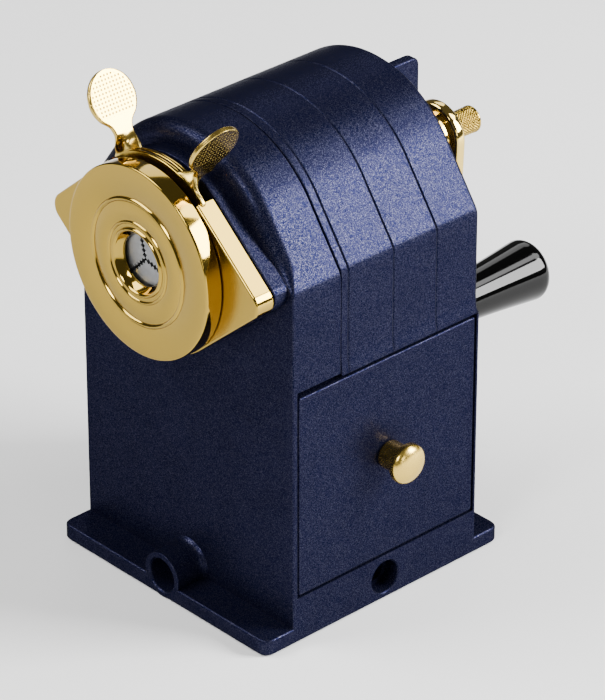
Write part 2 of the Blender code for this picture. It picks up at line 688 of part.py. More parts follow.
def cover_disc(gold):
    """A cup with a rounded rim: it covers the jaws and plugs into the housing's pocket."""
    back = HOUSING_FRONT - 0.15
    profile = [(HOLE_R, DISC_FRONT + DISC_FACE_T), (HOLE_R, DISC_FRONT + 1.0),
               (HOLE_R + 0.4, DISC_FRONT + 0.35), (HOLE_RIM_R, DISC_FRONT),
               (DISC_R - 0.35, DISC_FRONT), (DISC_R, DISC_FRONT + 0.35), (DISC_R, back - 0.25),
               (DISC_R - 0.25, back), (POCKET_R - FIT_GAP, back),
               (POCKET_R - FIT_GAP, back + SPIGOT_L), (DISC_CAVITY, back + SPIGOT_L),
               (DISC_CAVITY, DISC_FRONT + DISC_FACE_T)]
    disc = turned("cover_disc", profile, gold, steps=44, closed=True)
    cut(disc, block("disc_notch", (-NOTCH_HALF, NOTCH_HALF), (back + 0.01, back + 3),
                    (AXIS_Z + NOTCH_FROM, AXIS_Z + 30)))
    return disc


def jaw_places(radius):
    """Name, X and Z of the three jaws' pins, a third of a turn apart."""
    found = []
    for name, turn in (("a", 90.0), ("b", 210.0), ("c", 330.0)):
        x, z = polar(radius, radians(turn))
        found.append((name, x, AXIS_Z + z))
    return found


def jaw(name, turn, steel):
    """A flat jaw: a wedge up to the axis, a pivot hole and a tail with a drive pin."""
    near = JAW_EDGE / sin(radians(60))
    low = radians(-105)
    high = radians(15)
    side = radians(60)
    tip = polar(near, low + side)
    offset_low = (-sin(low) * JAW_EDGE, cos(low) * JAW_EDGE)
    reach_low = polar(8.0, low)
    outline = [tip, (reach_low[0] + offset_low[0], reach_low[1] + offset_low[1])]
    for i in range(7):
        angle = radians(-95 + 78 * i / 6)
        outline.append(polar(JAW_REACH, angle))
    outline += [(12.4, -JAW_TAIL_HALF), (JAW_DRIVE + 1.0, -JAW_TAIL_HALF), (JAW_DRIVE + 1.5, -1.2),
                (JAW_DRIVE + 1.5, 1.2), (JAW_DRIVE + 1.0, JAW_TAIL_HALF)]
    offset_high = JAW_EDGE / cos(high)
    outline.append(((JAW_TAIL_HALF + offset_high) / tan(high), JAW_TAIL_HALF))
    turned_points = []
    for x, z in outline:
        radius = hypot(x, z)
        angle = atan2(z, x) + turn
        turned_points.append((radius * cos(angle), AXIS_Z + radius * sin(angle)))
    plate = prism("jaw_" + name, turned_points, JAW_FRONT, JAW_FRONT + JAW_T, steel)
    px, pz = polar(JAW_PIVOT, turn)
    dx, dz = polar(JAW_DRIVE, turn)
    cut(plate, rod("jaw_hole_" + name, JAW_PIN_R + RUN_GAP, JAW_FRONT - 1, JAW_FRONT + JAW_T + 1,
                   centre=(px, AXIS_Z + pz), steps=16))
    add(plate, rod("jaw_drive_" + name, 0.9, JAW_FRONT + 0.5, LEVER_FRONT_FRONT + LEVER_T,
                   centre=(dx, AXIS_Z + dz), steps=12))
    return plate


def lever(name, side, ring_front, gold, with_slots):
    """A ring about the pencil, a crest, a neck twisted a quarter turn and a finger pad."""
    lean = radians(90) - side * radians(LEVER_ANGLE)
    far = radians(90) + side * radians(22)
    near = lean - side * radians(6.5)
    steps = 48
    outline = []
    low, high = min(near, far), max(near, far)
    for i in range(11):
        outline.append(polar(LEVER_CREST, low + (high - low) * i / 10))
    rest = 2 * pi - (high - low)
    for i in range(1, steps - 10):
        outline.append(polar(LEVER_OUT, high + rest * i / (steps - 10)))
    plate = prism(name, [(x, AXIS_Z + z) for x, z in outline], ring_front, ring_front + LEVER_T, gold)
    radial = Vector((cos(lean), 0, sin(lean)))
    tangent = Vector((-sin(lean), 0, cos(lean)))
    loops = []
    sections = 9
    start, end = LEVER_CREST + 0.6, PAD_DIST - PAD_R + 2.0
    for i in range(-1, sections):
        share = i / (sections - 1) if i >= 0 else -2.4 / (end - start)
        ease = share * share * (3 - 2 * share) if i >= 0 else 0.0
        turn = ease * pi / 2 * side
        wide = tangent * cos(turn) + Vector((0, 1, 0)) * sin(turn)
        thick = wide.cross(radial)
        y = ring_front + LEVER_T / 2 + (PAD_Y - ring_front - LEVER_T / 2) * ease
        half_t = (LEVER_T / 2 + (PAD_T - LEVER_T) / 2 * ease) - 0.02
        centre = Vector((0, depth(y), AXIS_Z)) + radial * (start + (end - start) * share)
        loops.append([centre + wide * (a * NECK_HALF) + thick * (b * half_t)
                      for a, b in ((1, 1), (-1, 1), (-1, -1), (1, -1))])
    neck = skin(name + "_neck", loops)
    pad_centre = Vector((0, depth(PAD_Y), AXIS_Z)) + radial * PAD_DIST
    disc = circle(PAD_R, 28)
    faces = []
    for half in (-PAD_T / 2, PAD_T / 2):
        faces.append([pad_centre + tangent * half + radial * u + Vector((0, v, 0)) for u, v in disc])
    pad = skin(name + "_pad", faces)
    add(plate, neck, pad)
    cut(plate, rod(name + "_eye", LEVER_IN, ring_front - 1, ring_front + LEVER_T + 1, steps=40))
    if with_slots:
        for slot_name, turn in (("a", 90.0), ("b", 210.0), ("c", 330.0)):
            cut(plate, drive_slot(name + slot_name, radians(turn), ring_front))
    return plate


def drive_slot(name, turn, ring_front):
    """A slot along the radius, wide enough for a jaw's drive pin."""
    half = 0.9 + RUN_GAP
    near, far = JAW_DRIVE - 2.2, JAW_DRIVE + 1.3
    corners = ((near, -half), (far, -half), (far, half), (near, half))
    outline = [(x * cos(turn) - z * sin(turn), AXIS_Z + x * sin(turn) + z * cos(turn)) for x, z in corners]
    return prism("slot_" + name, outline, ring_front - 1, ring_front + LEVER_T + 1)


def coil_spring(name, x, steel):
    """A round-wire compression spring between the bulkhead and the rod's collar."""
    start = BULK_DEPTH + 0.6 + SPRING_WIRE
    end = COLLAR_Y - FIT_GAP - SPRING_WIRE
    per_turn = 10
    total = SPRING_TURNS * per_turn
    loops = []
    for i in range(total + 1):
        angle = 2 * pi * i / per_turn
        out = Vector((cos(angle), 0, sin(angle)))
        centre = Vector((x, depth(start + (end - start) * i / total), AXIS_Z)) + out * SPRING_R
        loops.append([centre + out * (SPRING_WIRE * a) + Vector((0, SPRING_WIRE * b, 0))
                      for a, b in ((1, 0), (0, 1), (-1, 0), (0, -1))])
    return skin(name, loops, steel)


def carriage(gold, steel, bronze):
    pieces = [chuck_housing(gold), cover_disc(gold)]
    for word, side in (("left", -1), ("right", 1)):
        place = (side * ROD_X, AXIS_Z)
        pieces.append(rod("guide_rod_" + word, ROD_R, ROD_START, ROD_END, steel, centre=place, steps=20, edge=0.3))
        pieces.append(tube("rod_collar_" + word, ROD_R + 0.15, COLLAR_R, COLLAR_Y, COLLAR_Y + COLLAR_T,
                           steel, centre=place, steps=20))
        tube("guide_bush_" + word, ROD_R + RUN_GAP, bush_outer(), -BOSS_OUT + 0.2, BULK_DEPTH, bronze,
             centre=place, steps=24)
        coil_spring("return_spring_" + word, side * ROD_X, steel)
    for name, x, z in jaw_places(JAW_PIVOT):
        pieces.append(rod("jaw_pin_" + name, JAW_PIN_R, JAW_FRONT - 0.2, HOUSING_BACK - 0.1, steel,
                          centre=(x, z), steps=14))
    return pieces


# ---------------------------------------------------------------- assembly

def build():
    clear_scene()
    paint = finish_material("Navy powder coat", (0.010, 0.014, 0.050), 0.45, 0.3)
    gold = finish_material("Polished gold plate", (0.76, 0.56, 0.22), 0.12, 1.0)
    steel = finish_material("Bright steel", (0.55, 0.55, 0.56), 0.3, 1.0)
    dark = finish_material("Blackened steel", (0.06, 0.06, 0.065), 0.45, 1.0)
    bronze = finish_material("Sintered bronze", (0.42, 0.26, 0.12), 0.4, 1.0)
    alloy = finish_material("Cast zinc alloy", (0.36, 0.36, 0.37), 0.5, 1.0)
    plastic = finish_material("Moulded grey ABS", (0.035, 0.038, 0.045), 0.5, 0.0)
    black = finish_material("Glossy black phenolic", (0.006, 0.006, 0.006), 0.08, 0.0)

    main_body(paint)
    rear_hood(paint)
    ring_gear(steel)
    base_plate(dark, steel)
    bush_r = SHAFT_R + RUN_GAP
    tube("rear_bush", bush_r, bush_r + BUSH_WALL, DEPTH - REAR_WALL, DEPTH + BEARING_OUT, bronze, steps=32)

    drawer_joint = joint_empty("drawer_joint", (HALF_W, KNOB_Y, KNOB_Z))
    hang(drawer_joint, *drawer(paint, gold, plastic, steel))

    crank_joint = joint_empty("crank_joint", (0, DEPTH, AXIS_Z))
    shaft, washer, arm, pin, handle = crank_parts(gold, steel, black)
    hang(crank_joint, cutter_head(alloy), shaft, washer, arm, pin, cutter_arbor(steel))
    handle_joint = joint_empty("handle_joint", (0, HANDLE_START, AXIS_Z - CRANK_THROW), crank_joint)
    hang(handle_joint, handle)
    centre = cutter_frame(apex_distance((CUTTER_START + CUTTER_END) / 2))[0]
    cutter_joint = joint_empty("cutter_joint", (0, centre.y - FRONT_Y, centre.z), crank_joint)
    hang(cutter_joint, helical_cutter(steel), pinion_gear(steel))
    stop_joint = joint_empty("stop_joint", (0, ADJUST_START, AXIS_Z), crank_joint)
    knob, stop = adjuster(gold, steel)
    hang(stop_joint, stop)
    adjuster_joint = joint_empty("adjuster_joint", (0, ADJUST_START, AXIS_Z), stop_joint)
    hang(adjuster_joint, knob)

    carriage_joint = joint_empty("carriage_joint", (0, HOUSING_BACK, AXIS_Z))
    carried = carriage(gold, steel, bronze)
    hang(carriage_joint, *carried)
    for word, side, ring_front, slots in (("left", -1, LEVER_REAR_FRONT, False),
                                          ("right", 1, LEVER_FRONT_FRONT, True)):
        lever_joint = joint_empty(word + "_lever_joint", (0, ring_front, AXIS_Z), carriage_joint)
        hang(lever_joint, lever(word + "_lever", side, ring_front, gold, slots))
    for (name, x, z), turn in zip(jaw_places(JAW_PIVOT), (90.0, 210.0, 330.0)):
        jaw_joint = joint_empty(f"jaw_{name}_joint", (x, JAW_FRONT, z), carriage_joint)
        hang(jaw_joint, jaw(name, radians(turn), steel))


build()
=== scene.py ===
"""Looks of a hand-cranked desk pencil sharpener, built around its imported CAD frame.

Lengths in the helpers are millimetres in the row frame: -Y is the front, +X the drawer's side,
+Z up. Every new piece is a surface evaluated over two parameters with numpy, and its rule is
given in words above it. Places and sizes come from the boxes of the CAD nodes.
"""

from math import asin, cos, pi, radians, sin

import bmesh
import bpy
import numpy as np
from mathutils import Matrix, Vector


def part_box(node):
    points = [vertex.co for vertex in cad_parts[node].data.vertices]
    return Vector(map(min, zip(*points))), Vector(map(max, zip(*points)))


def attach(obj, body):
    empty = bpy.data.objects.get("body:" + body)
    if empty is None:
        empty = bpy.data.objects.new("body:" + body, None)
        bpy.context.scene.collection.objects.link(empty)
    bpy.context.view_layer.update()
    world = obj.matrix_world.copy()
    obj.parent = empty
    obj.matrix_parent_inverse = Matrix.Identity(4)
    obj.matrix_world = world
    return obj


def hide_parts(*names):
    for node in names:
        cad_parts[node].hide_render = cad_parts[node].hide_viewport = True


bl_info = {
    "name": "Desk pencil sharpener",
    "version": (1, 0, 0),
    "blender": (4, 5, 0),
    "location": "3D View > Sidebar > Sharpener",
    "description": "Dresses a pencil sharpener's CAD frame piece by piece",
    "category": "Object",
}

MM = 0.001
CLAMP_Z = 4.8  # height of the two clamp sockets
CLAMP_BORE = 3.5  # radius of the sockets' bores
CLAMP_DEPTH = 13.0
TUBE_R = 4.85  # outside radius of the front socket's tube
TUBE_FOOT_R = 5.7  # where the tube flares into the wall
BODY_WALL = 3.2
PANEL_GAP = 0.45  # round the drawer's front panel
SEAT_GAP = 0.3  # between fastened pieces
NOTCH = 12.5  # half width and height of the notch that clears the levers
LEVER_LEAN = radians(28.0)  # each lever's lean from upright, seen from the front
PAD_OUT = 30.3  # a pad's centre from the pencil's axis
DRIVE_R = 14.8  # a jaw's drive post from the pencil's axis
JAW_TURNS = (90.0, 210.0, 330.0)  # degrees round the pencil's axis

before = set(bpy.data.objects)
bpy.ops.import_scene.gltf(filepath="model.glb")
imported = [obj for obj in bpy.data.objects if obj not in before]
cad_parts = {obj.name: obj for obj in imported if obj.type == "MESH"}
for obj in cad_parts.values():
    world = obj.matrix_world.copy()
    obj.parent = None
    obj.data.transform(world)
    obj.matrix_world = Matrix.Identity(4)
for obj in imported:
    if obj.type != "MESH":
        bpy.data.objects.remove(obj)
cut_forms = []


# ---------------- numbers and outlines

def box_mm(node):
    low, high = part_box(node)
    return np.array(low) / MM, np.array(high) / MM


def middle(node):
    low, high = box_mm(node)
    return (low + high) / 2


def smooth(t):
    """Eases from 0 to 1 with level ends."""
    t = np.clip(t, 0.0, 1.0)
    return t * t * (3 - 2 * t)


def round_corners(points, radii, steps=6, closed=False):
    """Replaces each corner of a polyline by a short parabola that leaves both sides squarely."""
    points = np.asarray(points, float)
    count = len(points)
    out = []
    for i, radius in enumerate(radii):
        here = points[i]
        if radius <= 0 or (not closed and i in (0, count - 1)):
            out.append(here[None])
            continue
        before = points[i - 1] - here
        after = points[(i + 1) % count] - here
        a = here + before / np.linalg.norm(before) * min(radius, np.linalg.norm(before) * 0.49)
        b = here + after / np.linalg.norm(after) * min(radius, np.linalg.norm(after) * 0.49)
        t = np.linspace(0, 1, steps + 1)[:, None]
        out.append((1 - t) ** 2 * a + 2 * t * (1 - t) * here + t ** 2 * b)
    return np.concatenate(out)


def arc(radius, start, end, steps, centre=(0.0, 0.0)):
    angle = np.linspace(start, end, steps + 1)
    return np.stack([centre[0] + radius * np.cos(angle), centre[1] + radius * np.sin(angle)], axis=1)


def spaced(points, step, closed=True):
    """The same line with points a steady step apart along its length; its corners are kept."""
    points = np.asarray(points, float)
    if closed:
        points = np.concatenate([points, points[:1]])
    parts = []
    for a, b in zip(points, points[1:]):
        count = max(1, int(np.ceil(np.linalg.norm(b - a) / step)))
        t = np.arange(count)[:, None] / count
        parts.append(a + (b - a) * t)
    if not closed:
        parts.append(points[-1:])
    return np.concatenate(parts)


def outward(outline):
    """Unit normals of a closed anticlockwise outline."""
    along = np.roll(outline, -1, axis=0) - np.roll(outline, 1, axis=0)
    normal = np.stack([along[:, 1], -along[:, 0]], axis=1)
    return normal / np.linalg.norm(normal, axis=1, keepdims=True)


# ---------------- surfaces

def to_object(name, points, faces, material, sharp=35.0):
    """A closed mesh from points in millimetres, with its faces turned outward."""
    name = name.replace(" ", "_").lower()
    mesh = bpy.data.meshes.new(name)
    mesh.from_pydata((points * MM).tolist(), [], faces)
    work = bmesh.new()
    work.from_mesh(mesh)
    bmesh.ops.remove_doubles(work, verts=work.verts, dist=2e-7)
    bmesh.ops.dissolve_degenerate(work, edges=work.edges, dist=1e-7)
    bmesh.ops.recalc_face_normals(work, faces=work.faces)
    work.to_mesh(mesh)
    work.free()
    piece = bpy.data.objects.new(name, mesh)
    bpy.context.scene.collection.objects.link(piece)
    if material is not None:
        mesh.materials.append(material)
    mesh.shade_smooth()
    mesh.set_sharp_from_angle(angle=radians(sharp))
    return piece


def grid_faces(rows, columns, wrap_rows, wrap_columns, base=0):
    """Quads between neighbouring rows and columns of a grid of points."""
    r = np.arange(rows if wrap_rows else rows - 1)
    c = np.arange(columns if wrap_columns else columns - 1)
    r, c = np.meshgrid(r, c, indexing="ij")
    r2 = (r + 1) % rows
    c2 = (c + 1) % columns
    quads = np.stack([r * columns + c, r * columns + c2, r2 * columns + c2, r2 * columns + c], axis=-1)
    return (quads.reshape(-1, 4) + base).tolist()


def surface(name, points, material, wrap_rows=False, sharp=35.0):
    """A skin over rows of closed loops; open ends get a flat face each."""
    rows, columns = points.shape[:2]
    faces = grid_faces(rows, columns, wrap_rows, True)
    if not wrap_rows:
        faces.append(list(range(columns))[::-1])
        faces.append(list(range((rows - 1) * columns, rows * columns)))
    return to_object(name, points.reshape(-1, 3), faces, material, sharp)


def lathe(name, profile, material, centre=(0.0, 0.0), axis="Y", steps=160, closed=False, sharp=35.0):
    """A profile of (radius, place along the axis) turned once about the axis through centre."""
    profile = np.asarray(profile, float)
    angle = np.linspace(0, 2 * pi, steps, endpoint=False)
    radius = profile[:, 0][:, None]
    along = np.repeat(profile[:, 1][:, None], steps, axis=1)
    a = centre[0] + radius * np.cos(angle)
    b = centre[1] + radius * np.sin(angle)
    order = {"Y": (a, along, b), "X": (along, a, b), "Z": (a, b, along)}[axis]
    return surface(name, np.stack(order, axis=-1), material, wrap_rows=closed, sharp=sharp)


def carried(name, outline, places, insets, material, plane="XZ", sharp=35.0):
    """An outline carried along the third axis; at each place it is drawn in by its own inset."""
    normal = outward(outline)
    insets = np.asarray(insets, float)
    if insets.ndim == 1:
        insets = np.repeat(insets[:, None], len(outline), axis=1)
    places = np.asarray(places, float)
    if places.ndim == 1:
        places = np.repeat(places[:, None], len(outline), axis=1)
    flat = outline[None] - normal[None] * insets[:, :, None]
    a, b = flat[:, :, 0], flat[:, :, 1]
    order = {"XZ": (a, places, b), "XY": (a, b, places), "YZ": (places, a, b)}[plane]
    return surface(name, np.stack(order, axis=-1), material, sharp=sharp)


def rounded_ends(low, high, radius, steps=5):
    """Places and insets that round both end edges of a carried outline."""
    angle = np.linspace(0, pi / 2, steps + 1)
    near = radius * (1 - np.sin(angle))
    place = radius * (1 - np.cos(angle))
    return np.concatenate([low + place, (high - place)[::-1]]), np.concatenate([near, near[::-1]])


def slab(name, low, high, material, corner, edge, plane="XY"):
    """A box with round upright corners and round end edges, as an outline carried across."""
    axes = {"XY": (0, 1, 2), "XZ": (0, 2, 1), "YZ": (1, 2, 0)}[plane]
    u0, v0, w0 = (low[i] for i in axes)
    u1, v1, w1 = (high[i] for i in axes)
    corners = [(u1, v0), (u1, v1), (u0, v1), (u0, v0)]
    outline = round_corners(corners, [corner] * 4, steps=8, closed=True)
    places, insets = rounded_ends(w0, w1, edge)
    return carried(name, outline, places, insets, material, plane=plane)


def cut(piece, *tools, operation="DIFFERENCE"):
    for tool in tools:
        modifier = piece.modifiers.new(operation.title() + " " + tool.name, "BOOLEAN")
        modifier.object = tool
        modifier.operation = operation
        modifier.solver = "EXACT"
        cut_forms.append(tool)


def settle(piece, material, sharp=30.0):
    """Makes a piece's cuts permanent, then shades it smooth with its sharp edges kept by angle."""
    bpy.context.view_layer.update()
    graph = bpy.context.evaluated_depsgraph_get()
    mesh = bpy.data.meshes.new_from_object(piece.evaluated_get(graph))
    piece.modifiers.clear()
    piece.data = mesh
    mesh.materials.clear()
    mesh.materials.append(material)
    mesh.polygons.foreach_set("material_index", np.zeros(len(mesh.polygons), np.int32))
    mesh.shade_smooth()
    mesh.set_sharp_from_angle(angle=radians(sharp))
    for form in cut_forms:
        bpy.data.objects.remove(form, do_unlink=True)
    cut_forms.clear()
    return piece


def weighted(piece):
    modifier = piece.modifiers.new("Even normals", "WEIGHTED_NORMAL")
    modifier.keep_sharp = True
    modifier.weight = 80
    return piece


def dress(piece, body, nodes=()):
    """Puts a piece on its body and hides the CAD nodes it stands for."""
    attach(piece, body)
    if nodes:
        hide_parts(*nodes)
    return piece


def finished(piece, look, body, node_name):
    """Settles a cut piece, evens its normals and puts it in its CAD node's place."""
    settle(piece, finish(look))
    weighted(piece)
    dress(piece, body, [node_name])


def wear(material, *nodes):
    """Gives CAD nodes that stay shown a procedural finish."""
    for name in nodes:
        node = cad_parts[name]
        node.data.materials.clear()
        node.data.materials.append(material)
        node.data.shade_smooth()
        node.data.set_sharp_from_angle(angle=radians(30))


# ---------------- materials

def linear(code):
    """Turns an sRGB hex colour into the linear values that shaders take."""
    values = [int(code[i:i + 2], 16) / 255 for i in (1, 3, 5)]
    return tuple(v / 12.92 if v <= 0.04045 else ((v + 0.055) / 1.055) ** 2.4 for v in values) + (1.0,)


def node(tree, kind, settings=None, **inputs):
    """Adds a shader node, sets its options and feeds its sockets with values or other sockets.

    A socket is given by its name, or as i and its number.
    """
    made = tree.nodes.new("ShaderNode" + kind)
    for key, value in (settings or {}).items():
        setattr(made, key, value)
    for key, value in inputs.items():
        socket = made.inputs[int(key[1:]) if key[0] == "i" and key[1:].isdigit() else key.replace("_", " ")]
        if isinstance(value, bpy.types.NodeSocket):
            tree.links.new(value, socket)
        else:
            socket.default_value = value
    return made


def feed(shader, socket, source, output=0):
    shader.id_data.links.new(source.outputs[output], shader.inputs[socket])


def start_material(name, **values):
    material = bpy.data.materials.new(name)
    material.use_nodes = True
    tree = material.node_tree
    shader = tree.nodes["Principled BSDF"]
    for key, value in values.items():
        shader.inputs[key.replace("_", " ")].default_value = value
    place = node(tree, "TexCoord").outputs["Object"]
    return material, tree, shader, place


def ramp(tree, value, stops):
    made = node(tree, "ValToRGB", i0=value)
    band = made.color_ramp
    while len(band.elements) < len(stops):
        band.elements.new(0.5)
    for element, (place, colour) in zip(band.elements, stops):
        element.position = place
        element.color = colour
    return made.outputs["Color"]


def grey(value):
    return (value, value, value, 1.0)


def powder_coat():
    """Navy polyester powder with fine aluminium flakes, baked on to a slightly wavy skin.

    The eye gets a deep, almost black blue. It pales to blue-grey where it mirrors a light, and
    the few flakes that lie flat glint there as fine pale specks.
    """
    material, tree, shader, place = start_material(
        "Metallic navy powder coat", Roughness=0.36, Specular_IOR_Level=0.02)
    shader.inputs["Specular Tint"].default_value = linear("#2c3252")
    flakes = node(tree, "TexVoronoi", Vector=place, Scale=9.0 / MM)
    split = node(tree, "SeparateColor", i0=flakes.outputs["Color"])
    specks = ramp(tree, split.outputs[0], [(0.0, linear("#040720")), (0.35, linear("#0a0e27")),
                                           (0.8, linear("#282839")), (1.0, linear("#434352"))])
    cloud = node(tree, "TexNoise", Vector=place, Scale=0.12 / MM, Detail=2.0)
    shade = ramp(tree, cloud.outputs["Fac"], [(0.3, grey(0.9)), (0.7, grey(1.0))])
    mixed = node(tree, "Mix", {"data_type": "RGBA", "blend_type": "MULTIPLY"},
                 i0=1.0, i6=specks, i7=shade)
    feed(shader, "Base Color", mixed, 2)
    metal = node(tree, "MapRange", i0=split.outputs[0], i1=0.2, i2=1.0, i3=0.4, i4=0.85)
    feed(shader, "Metallic", metal)
    rough = node(tree, "MapRange", i0=split.outputs[1], i3=0.3, i4=0.42)
    feed(shader, "Roughness", rough)
    skin = node(tree, "TexNoise", Vector=place, Scale=1.3 / MM, Detail=1.0)
    bump = node(tree, "Bump", Strength=0.3, Distance=0.02 * MM, Height=skin.outputs["Fac"])
    lift = node(tree, "Bump", Strength=0.3, Distance=0.008 * MM, Height=split.outputs[2],
                Normal=bump.outputs[0])
    feed(shader, "Normal", lift)
    return material


def gold_plate(name, colour, face, edge, grain):
    """Thin gold-coloured plating over turned and pressed steel.

    Faces square to the pencil axis were left satin, so the steel's fine grain blurs them; the
    edges were polished and mirror the lights sharply.
    """
    material, tree, shader, place = start_material(name, Metallic=1.0, Base_Color=linear(colour))
    fine = node(tree, "TexNoise", Vector=place, Scale=2.6 / MM, Detail=3.0)
    facing = node(tree, "SeparateXYZ", i0=node(tree, "NewGeometry").outputs["Normal"])
    square = node(tree, "Math", {"operation": "ABSOLUTE"}, i0=facing.outputs["Y"])
    satin = node(tree, "MapRange", i0=square.outputs[0], i1=0.9, i2=0.985, i3=0.0, i4=1.0)
    level = node(tree, "MapRange", i0=satin.outputs[0], i3=edge, i4=face)
    grained = node(tree, "MapRange", i0=fine.outputs["Fac"], i1=0.3, i2=0.7, i3=0.92, i4=1.08)
    rough = node(tree, "Math", {"operation": "MULTIPLY"}, i0=level.outputs[0], i1=grained.outputs[0])
    feed(shader, "Roughness", rough)
    strength = node(tree, "Math", {"operation": "MULTIPLY"}, i0=satin.outputs[0], i1=grain)
    bump = node(tree, "Bump", Distance=0.008 * MM, Height=fine.outputs["Fac"], Strength=strength.outputs[0])
    feed(shader, "Normal", bump)
    return material


def dimpled_gold():
    """The same plating on a finger pad pressed with a lattice of small round dimples.

    The piece's own UV map is in millimetres across the pad, so each dimple keeps its real size.
    """
    material, tree, shader, _ = start_material(
        "Dimpled gold plate", Metallic=1.0, Roughness=0.24)
    dimple_pitch = 0.8
    uv = node(tree, "UVMap", {"uv_map": "Pad"}).outputs[0]
    pitched = node(tree, "VectorMath", {"operation": "SCALE"}, i0=uv, Scale=1 / dimple_pitch)
    cells = node(tree, "VectorMath", {"operation": "FRACTION"}, i0=pitched.outputs[0])
    offset = node(tree, "VectorMath", {"operation": "SUBTRACT"}, i0=cells.outputs[0], i1=(0.5, 0.5, 0.0))
    reach = node(tree, "VectorMath", {"operation": "LENGTH"}, i0=offset.outputs[0])
    pit = node(tree, "MapRange", {"interpolation_type": "SMOOTHSTEP"}, i0=reach.outputs[1],
               i1=0.12, i2=0.3, i3=0.0, i4=1.0)
    inside = node(tree, "Attribute", {"attribute_name": "pad_mask"})
    height = node(tree, "Mix", {"data_type": "FLOAT"}, i0=inside.outputs["Fac"], i2=1.0, i3=pit.outputs[0])
    # Each dimple's hollow is painted a darker gold as shade, laid over the real dimples that the bump
    # makes.
    painted_pit_shade = node(tree, "Mix", {"data_type": "RGBA"}, i0=height.outputs[0],
                i6=linear("#7d6830"), i7=linear("#ccae58"))
    feed(shader, "Base Color", painted_pit_shade, 2)
    bump = node(tree, "Bump", Strength=0.8, Distance=0.07 * MM, Height=height.outputs[0])
    feed(shader, "Normal", bump)
    return material


def worked_steel(name, colour, roughness):
    """Ground or turned steel: grey metal with fine scratches that blur what it mirrors."""
    material, tree, shader, place = start_material(
        name, Metallic=1.0, Base_Color=linear(colour), Roughness=roughness)
    fine = node(tree, "TexNoise", Vector=place, Scale=1.4 / MM, Detail=4.0)
    rough = node(tree, "MapRange", i0=fine.outputs["Fac"], i1=0.3, i2=0.7,
                 i3=roughness * 0.75, i4=roughness * 1.3)
    feed(shader, "Roughness", rough)
    return material


def moulded(name, colour, roughness, sheen):
    """Moulded plastic, its gloss set by the polish of the mould."""
    material, tree, shader, place = start_material(
        name, Base_Color=linear(colour), Roughness=roughness, Specular_IOR_Level=sheen)
    wave = node(tree, "TexNoise", Vector=place, Scale=0.15 / MM, Detail=1.0)
    bump = node(tree, "Bump", Strength=0.05, Distance=0.02 * MM, Height=wave.outputs["Fac"])
    feed(shader, "Normal", bump)
    return material


finishes = {}


def finish(name):
    """Makes each finish once, when first asked for."""
    makers = {
        "paint": powder_coat,
        "gold": lambda: gold_plate("Satin gold plate", "#a68a3a", 0.25, 0.09, 0.1),
        "turned": lambda: gold_plate("Turned gold plate", "#dcba58", 0.26, 0.26, 0.06),
        "bright": lambda: gold_plate("Polished gold plate", "#dcbe66", 0.1, 0.07, 0.06),
        "dimples": dimpled_gold,
        "steel": lambda: worked_steel("Ground steel", "#b9babb", 0.3),
        "jaw": lambda: worked_steel("Hardened steel plate", "#8d8e90", 0.42),
        "dark": lambda: worked_steel("Blackened steel", "#3c3c3f", 0.45),
        "bronze": lambda: worked_steel("Sintered bronze", "#a57b4c", 0.5),
        "alloy": lambda: worked_steel("Cast zinc alloy", "#8c8d90", 0.55),
        "black": lambda: moulded("Glossy black phenolic", "#020202", 0.07, 0.22),
        "tray": lambda: moulded("Grey ABS", "#2d3036", 0.5, 0.5),
    }
    if name not in finishes:
        finishes[name] = makers[name]()
    return finishes[name]


# ---------------- settings

def length(name, about, value):
    return bpy.props.FloatProperty(name=name, description=about, default=value * MM, unit="LENGTH",
                                   subtype="DISTANCE", precision=5)


def turn_angle(name, about, degrees):
    return bpy.props.FloatProperty(name=name, description=about, default=radians(degrees), subtype="ANGLE")


class SharpenerBody(bpy.types.PropertyGroup):
    vault_radius: length("Vault radius", "Outside radius of the round top of the hood", 25.9)
    vault_height: length("Vault centre", "Height of the round top's centre", 73.5)
    slope: turn_angle("Slope", "Slope of the hood's flanks", 54.6)
    front_round: length("Front rounding", "Rounding of the front casing's upper edge", 3.3)
    side_round: length("Side rounding", "Rounding of the upright front corners", 0.35)
    flange_height: length("Flange height", "Thickness of the foot flange", 3.4)
    groove: length("Groove depth", "Depth of the fine lines around the hood", 0.22)


class SharpenerDisc(bpy.types.PropertyGroup):
    bead_radius: length("Bead radius", "Radius of the raised bead on the cover disc", 12.65)
    bead_width: length("Bead width", "Width of the raised bead", 0.9)
    bead_height: length("Bead height", "Height of the raised bead", 0.35)
    inner_ring: length("Inner ring", "Radius of the fine inner ring", 8.05)
    hole: length("Hole radius", "Radius of the pencil hole", 5.2)
    tooth: length("Jaw tooth", "Pitch of the teeth on the jaws' edges", 0.95)


class SharpenerLevers(bpy.types.PropertyGroup):
    neck: length("Neck half width", "Half the width of a lever's neck", 2.05)
    pad: length("Pad radius", "Radius of a finger pad", 5.4)
    sheet: length("Sheet", "Thickness of the pressed levers", 1.0)


class SharpenerCrank(bpy.types.PropertyGroup):
    knurl: length("Knurl pitch", "Pitch of the knurl on the adjuster", 0.62)
    knurl_depth: length("Knurl depth", "Depth of the knurl on the adjuster", 0.24)
    handle_round: length("Handle rounding", "Rounding of the handle's free end", 2.2)


class SharpenerStage(bpy.types.PropertyGroup):
    azimuth: turn_angle("Azimuth", "Camera's turn about the object", 47.1195)
    elevation: turn_angle("Elevation", "Camera's height as an angle", 29.759)
    distance: length("Distance", "Camera to the middle of the object", 848.65)
    lens: bpy.props.FloatProperty(name="Lens", description="Focal length in millimetres", default=225.5)


def settings():
    return bpy.context.scene.sharpener


class SharpenerSettings(bpy.types.PropertyGroup):
    body: bpy.props.PointerProperty(type=SharpenerBody)
    disc: bpy.props.PointerProperty(type=SharpenerDisc)
    levers: bpy.props.PointerProperty(type=SharpenerLevers)
    crank: bpy.props.PointerProperty(type=SharpenerCrank)
    stage: bpy.props.PointerProperty(type=SharpenerStage)


# ---------------- body

